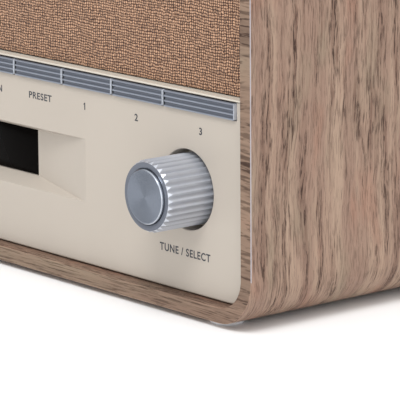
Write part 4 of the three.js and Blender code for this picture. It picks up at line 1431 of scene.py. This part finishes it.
def sleeving_finish():
    lead = Finish("red_sleeving")
    braid = lead.noise(lead.place(), 1400.0, 2.0)
    return lead.surface(
        {
            "Base Color": lead.mix(colour(132, 30, 24), colour(172, 48, 38), braid),
            "Roughness": 0.45 + braid * 0.1,
            "Normal": lead.bump(braid, 0.03 * MM),
        }
    )


def ribbon_finish():
    ribbon = Finish("grey_ribbon")
    x, _, _ = ribbon.split(ribbon.place())
    wires = ribbon.math("PINGPONG", x / (1.0 * MM), 0.5) * 2
    first_wire = ribbon.step(x, 8.9 * MM, 9.1 * MM)
    tone = ribbon.mix(colour(128, 128, 126), colour(178, 178, 174), ribbon.step(wires, 0.1, 0.5))
    tone = ribbon.mix(tone, colour(168, 52, 44), first_wire)
    return ribbon.surface(
        {
            "Base Color": tone,
            "Roughness": 0.5 - wires * 0.05,
            "Normal": ribbon.bump(wires, 0.3 * MM),
        }
    )


EVEN = (900, 900, 900)
inside = {
    "steel": metal_finish("zinc_plated_steel", colour(202, 204, 207), colour(168, 171, 176), 0.3,
                          EVEN, 0.008 * MM),
    "zinc": metal_finish("cast_zinc", colour(190, 192, 196), colour(150, 153, 158), 0.4, EVEN,
                         0.03 * MM),
    "aluminium": metal_finish("drawn_aluminium", colour(196, 198, 201), colour(160, 163, 168), 0.38,
                              (2500, 90, 2500), 0.01 * MM),
    "chrome": metal_finish("chromed_tube", colour(226, 227, 230), colour(208, 210, 214), 0.1,
                           (60, 900, 900), 0.002 * MM),
    "circuit_board": board_finish(),
    "fibreboard": fibre_finish("fibreboard", colour(172, 134, 96), colour(120, 88, 60), 0.9 * MM,
                               0.12 * MM),
    "speaker_paper": fibre_finish("paper_cone", colour(58, 55, 52), colour(34, 32, 30), 0.7 * MM,
                                  0.08 * MM),
    "speaker_black": moulded_finish("black_paint", colour(40, 40, 42), colour(26, 26, 28), 0.42,
                                    0.8 * MM, 0.02 * MM),
    "black_plastic": black_plastic,
    "lead_red": sleeving_finish(),
    "ribbon_grey": ribbon_finish(),
}

# %% [markdown]
# ## Telescopic aerial
# The aerial is four chromed tubes, one inside the next, on a black pivot. Tubes with twelve flat
# sides would show in the chrome, so each is spun again from its own section, with a small lip
# where the tube is rolled in over the next one. The first also carries the flat tongue that folds
# between the ears of the swivel.

# %% Make the aerial
swivel_low, swivel_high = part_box("aerial_swivel")
PIVOT = Vector(((swivel_low.x + swivel_high.x) / 2, 0, (swivel_low.z + swivel_high.z) / 2))
PIVOT.y = swivel_high.y - 4 * MM
TUBE_RADII = (3.0 * MM, 2.5 * MM, 2.0 * MM, 1.5 * MM)
TUBE_WALL = 0.3 * MM
TONGUE = 1.5 * MM  # half the thickness of the tongue
TONGUE_END, PIN_HOLE = 3 * MM, 1.5 * MM
LIP = 0.25 * MM
BEAD = 2.9 * MM


def tongue(bm, start):
    """A flat tab with a round end and a hole for the pin, joined to the tube."""
    level = Matrix.Translation(PIVOT + ALONG_Z * -TONGUE)
    rings = []
    for radius in (TONGUE_END, PIN_HOLE):
        made = bmesh.ops.create_circle(
            bm, cap_ends=False, radius=radius, segments=32, matrix=level
        )
        rings += edges_among(made["verts"])
    flat = bmesh.ops.bridge_loops(bm, edges=rings)["faces"]
    thicken(bm, flat, (0, 0, 2 * TONGUE))
    low = (start - 2 * MM, PIVOT.y - 2 * MM, PIVOT.z - TONGUE)
    add_block(bm, low, (PIVOT.x - 2.2 * MM, PIVOT.y + 2 * MM, PIVOT.z + TONGUE), 0.3 * MM)


def make_tube(number):
    node = f"aerial_section_{number + 1}"
    low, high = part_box(node)
    radius = TUBE_RADII[number]
    end = low.x
    start = PIVOT.x - 8 * MM if number == 0 else high.x
    section = [(0, start), (radius - LIP, start), (radius, start - LIP)]
    if number < len(TUBE_RADII) - 1:
        # A rolled groove, the lip over the next tube, and the hollow that it slides in.
        groove, inner, plug = radius - 0.12 * MM, radius - TUBE_WALL, start - 3 * MM
        section += [(radius, end + 2.4 * MM), (groove, end + 2 * MM), (groove, end + 1.4 * MM)]
        section += [(radius, end + MM), (radius, end + LIP), (radius - 0.1 * MM, end)]
        section += [(inner, end), (inner, plug), (0, plug)]
    else:
        # The bead at the tip, which is pulled to draw the aerial out.
        section += [(radius, end + 6.2 * MM), (BEAD - 0.4 * MM, end + 5.9 * MM)]
        section += [(BEAD, end + 5.4 * MM), (BEAD, end + 1.6 * MM)]
        section += [(BEAD - 0.3 * MM, end + 0.7 * MM), (BEAD - 1.1 * MM, end + 0.15 * MM)]
        section += [(BEAD - 2 * MM, end), (0, end)]
    bm = bmesh.new()
    turn_section(bm, section, Vector((0, PIVOT.y, PIVOT.z)), ALONG_X, 40)
    if number == 0:
        tongue(bm, start)
    body = f"aerial_rod_{number + 1}"
    return place_piece(f"chromed_tube_{number + 1}", bm, [inside["chrome"]], body, [node])


for number in range(len(TUBE_RADII)):
    make_tube(number)

# %% [markdown]
# ## Aerial pivot and bass port
# These round black mouldings stand on the rear panel. Each is half a section spun about its own
# axis, with a small radius on every edge that a hand could reach. The port's mouth flares, which
# keeps the air quiet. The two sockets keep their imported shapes, which have their bores already.

# %% Make the round rear parts
PANEL_FACE = sleeve_high.y - 3 * MM
SEATED = PANEL_FACE + 0.1 * MM


def make_aerial_base():
    low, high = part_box("aerial_base")
    radius, spigot = (high.x - low.x) / 2, 4 * MM
    section = [(0, low.y), (spigot, low.y), (spigot, SEATED), (radius, SEATED)]
    rounded = quarter_round(0.8 * MM, (90, 60, 30, 0))
    section += [(radius - inset, high.y - depth) for inset, depth in rounded] + [(0, high.y)]
    bm = bmesh.new()
    turn_section(bm, section, Vector((PIVOT.x, 0, PIVOT.z)), ALONG_Y, 64)
    return place_piece(
        "aerial_pedestal", bm, [black_plastic], CABINET, ["aerial_base"]
    )


DISC_RADIUS, DISC_DEPTH = 6 * MM, 2 * MM
EAR_RADIUS, EAR_THICKNESS, EAR_GAP = 4 * MM, 2 * MM, 0.3 * MM
PIN_RADIUS = 1.2 * MM


def make_swivel():
    """A disc that turns on the pedestal, two ears with round ends, and the pin through them."""
    bm = bmesh.new()
    front, disc_back = swivel_low.y, swivel_low.y + DISC_DEPTH
    edge, rear_edge = 0.3 * MM, 0.4 * MM
    disc = [(0, front), (DISC_RADIUS - edge, front), (DISC_RADIUS, front + edge)]
    disc += [(DISC_RADIUS, disc_back - rear_edge), (DISC_RADIUS - rear_edge, disc_back)]
    disc.append((0, disc_back))
    turn_section(bm, disc, Vector((PIVOT.x, 0, PIVOT.z)), ALONG_Y, 64)
    pin_axis = Vector((PIVOT.x, PIVOT.y, 0))
    for side in (-1, 1):
        inner = TONGUE + EAR_GAP
        low, high = sorted(PIVOT.z + side * reach for reach in (inner, inner + EAR_THICKNESS))
        ear = [(0, low), (EAR_RADIUS - edge, low), (EAR_RADIUS, low + edge)]
        ear += [(EAR_RADIUS, high - edge), (EAR_RADIUS - edge, high), (0, high)]
        turn_section(bm, ear, pin_axis, ALONG_Z, 40, ALONG_X)
        half = EAR_RADIUS - 0.02 * MM
        ear_low, ear_high = (PIVOT.x - half, disc_back - MM, low), (PIVOT.x + half, PIVOT.y, high)
        add_block(bm, ear_low, ear_high, 0.25 * MM)
    pin = [(0, swivel_low.z), (PIN_RADIUS, swivel_low.z)]
    pin += [(PIN_RADIUS, swivel_high.z), (0, swivel_high.z)]
    turn_section(bm, pin, pin_axis, ALONG_Z, 24, ALONG_X)
    return place_piece(
        "aerial_knuckle", bm, [black_plastic], "aerial_swivel", ["aerial_swivel"]
    )


PORT_BORE, PORT_WALL = 14 * MM, 2 * MM
FLARE_WIDTH, FLARE_DEPTH = 2.6 * MM, 5.5 * MM


def make_port():
    low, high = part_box("bass_port")
    centre = Vector(((low.x + high.x) / 2, 0, (low.z + high.z) / 2))
    bore, flange, tube_radius = PORT_BORE, (high.x - low.x) / 2, PORT_BORE + PORT_WALL
    mouth = high.y - 0.1 * MM
    section = [(bore, low.y), (tube_radius, low.y), (tube_radius, SEATED), (flange, SEATED)]
    section += [(flange, SEATED + 0.7 * MM), (flange - 0.15 * MM, SEATED + MM)]
    section += [(flange - 1.2 * MM, SEATED + 1.5 * MM), (bore + 4.6 * MM, high.y - 0.05 * MM)]
    section += [(bore + 3.6 * MM, high.y), (bore + FLARE_WIDTH, mouth)]
    for inward, back in quarter_round(1, range(15, 91, 15)):
        section.append((bore + FLARE_WIDTH * inward, mouth - FLARE_DEPTH * back))
    section.append((bore, low.y))
    bm = bmesh.new()
    turn_section(bm, section, centre, ALONG_Y, 96)
    return place_piece(
        "flared_port", bm, [black_plastic], CABINET, ["bass_port"]
    )


make_aerial_base()
make_swivel()
make_port()

# %% [markdown]
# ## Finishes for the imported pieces
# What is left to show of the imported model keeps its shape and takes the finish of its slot. The
# record names each node's slot, so one loop can dress them all.

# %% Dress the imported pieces
inside["cream_plastic"] = cream_plastic
inside["key_plastic"] = key_paint
dressed = 0
for part in frame["record"]["subparts"]:
    node = frame["nodes"][part["node"]]
    if not node.hide_render:
        for material_slot in node.material_slots:
            material_slot.material = inside[part["material_slot"]].material
        dressed += 1
print("packed pieces dressed:", dressed)

# %% [markdown]
# ## Floor and light
# The radio stands on a plain white sweep. One broad lamp stands above and to the right of the
# front, so that the knob throws its soft shadow down and a little to the left. A pale sky fills
# the rest. It is brighter above the right shoulder than at the lower left, because round silver
# parts look flat under a sky that is the same all round. A weak low lamp on the right lifts the
# shade under the sleeve and lights the feet. The floor's edge is too far away to show.


# %% Floor, lamps and sky
def make_floor():
    paper = Finish("white_paper")
    tone = paper.noise(paper.place(), 3.0, 2.0)
    paper.surface(
        {
            "Base Color": paper.mix((0.93, 0.93, 0.93, 1), (0.95, 0.95, 0.95, 1), tone),
            "Roughness": 0.9,
            "Specular IOR Level": 0.1,
        }
    )
    bm = bmesh.new()
    bmesh.ops.create_grid(bm, x_segments=4, y_segments=4, size=12.0)
    mesh = bpy.data.meshes.new("floor")
    bm.to_mesh(mesh)
    bm.free()
    mesh.materials.append(paper.material)
    floor = bpy.data.objects.new("floor", mesh)
    bpy.context.scene.collection.objects.link(floor)


LIT_POINT = Vector((0.05, 0, 0.08))


def add_lamp(name, place, size, power):
    light = bpy.data.lights.new(name, "AREA")
    light.shape, light.size, light.energy = "SQUARE", size, power
    lamp = bpy.data.objects.new(name, light)
    lamp.location = place
    from_radio = Vector(place) - LIT_POINT
    lamp.rotation_euler = from_radio.to_track_quat("Z", "Y").to_euler()
    bpy.context.scene.collection.objects.link(lamp)


def pale_sky(dim, bright):
    """Brightest above the right shoulder, and dimmer down towards the left."""
    world = bpy.data.worlds.new("sky")
    bpy.context.scene.world = world
    world.use_nodes = True
    sky = Network(world.node_tree)
    x, y, z = sky.split(sky.node("ShaderNodeTexCoord", output="Generated"))
    lift = sky.step(x * 0.55 - y * 0.35 + z * 0.75, -0.35, 0.85)
    strength = dim + lift * (bright - dim)
    light = sky.node("ShaderNodeBackground", None, {"Color": (1, 1, 1, 1), "Strength": strength})
    sky.end("ShaderNodeOutputWorld", light)


make_floor()
add_lamp("key_lamp", (0.74, -1.0, 1.75), 0.8, 21.0)
add_lamp("low_fill", (1.5, -1.1, 0.42), 1.0, 4.0)
pale_sky(0.22, 1.1)
bpy.context.scene.view_settings.view_transform = "Standard"
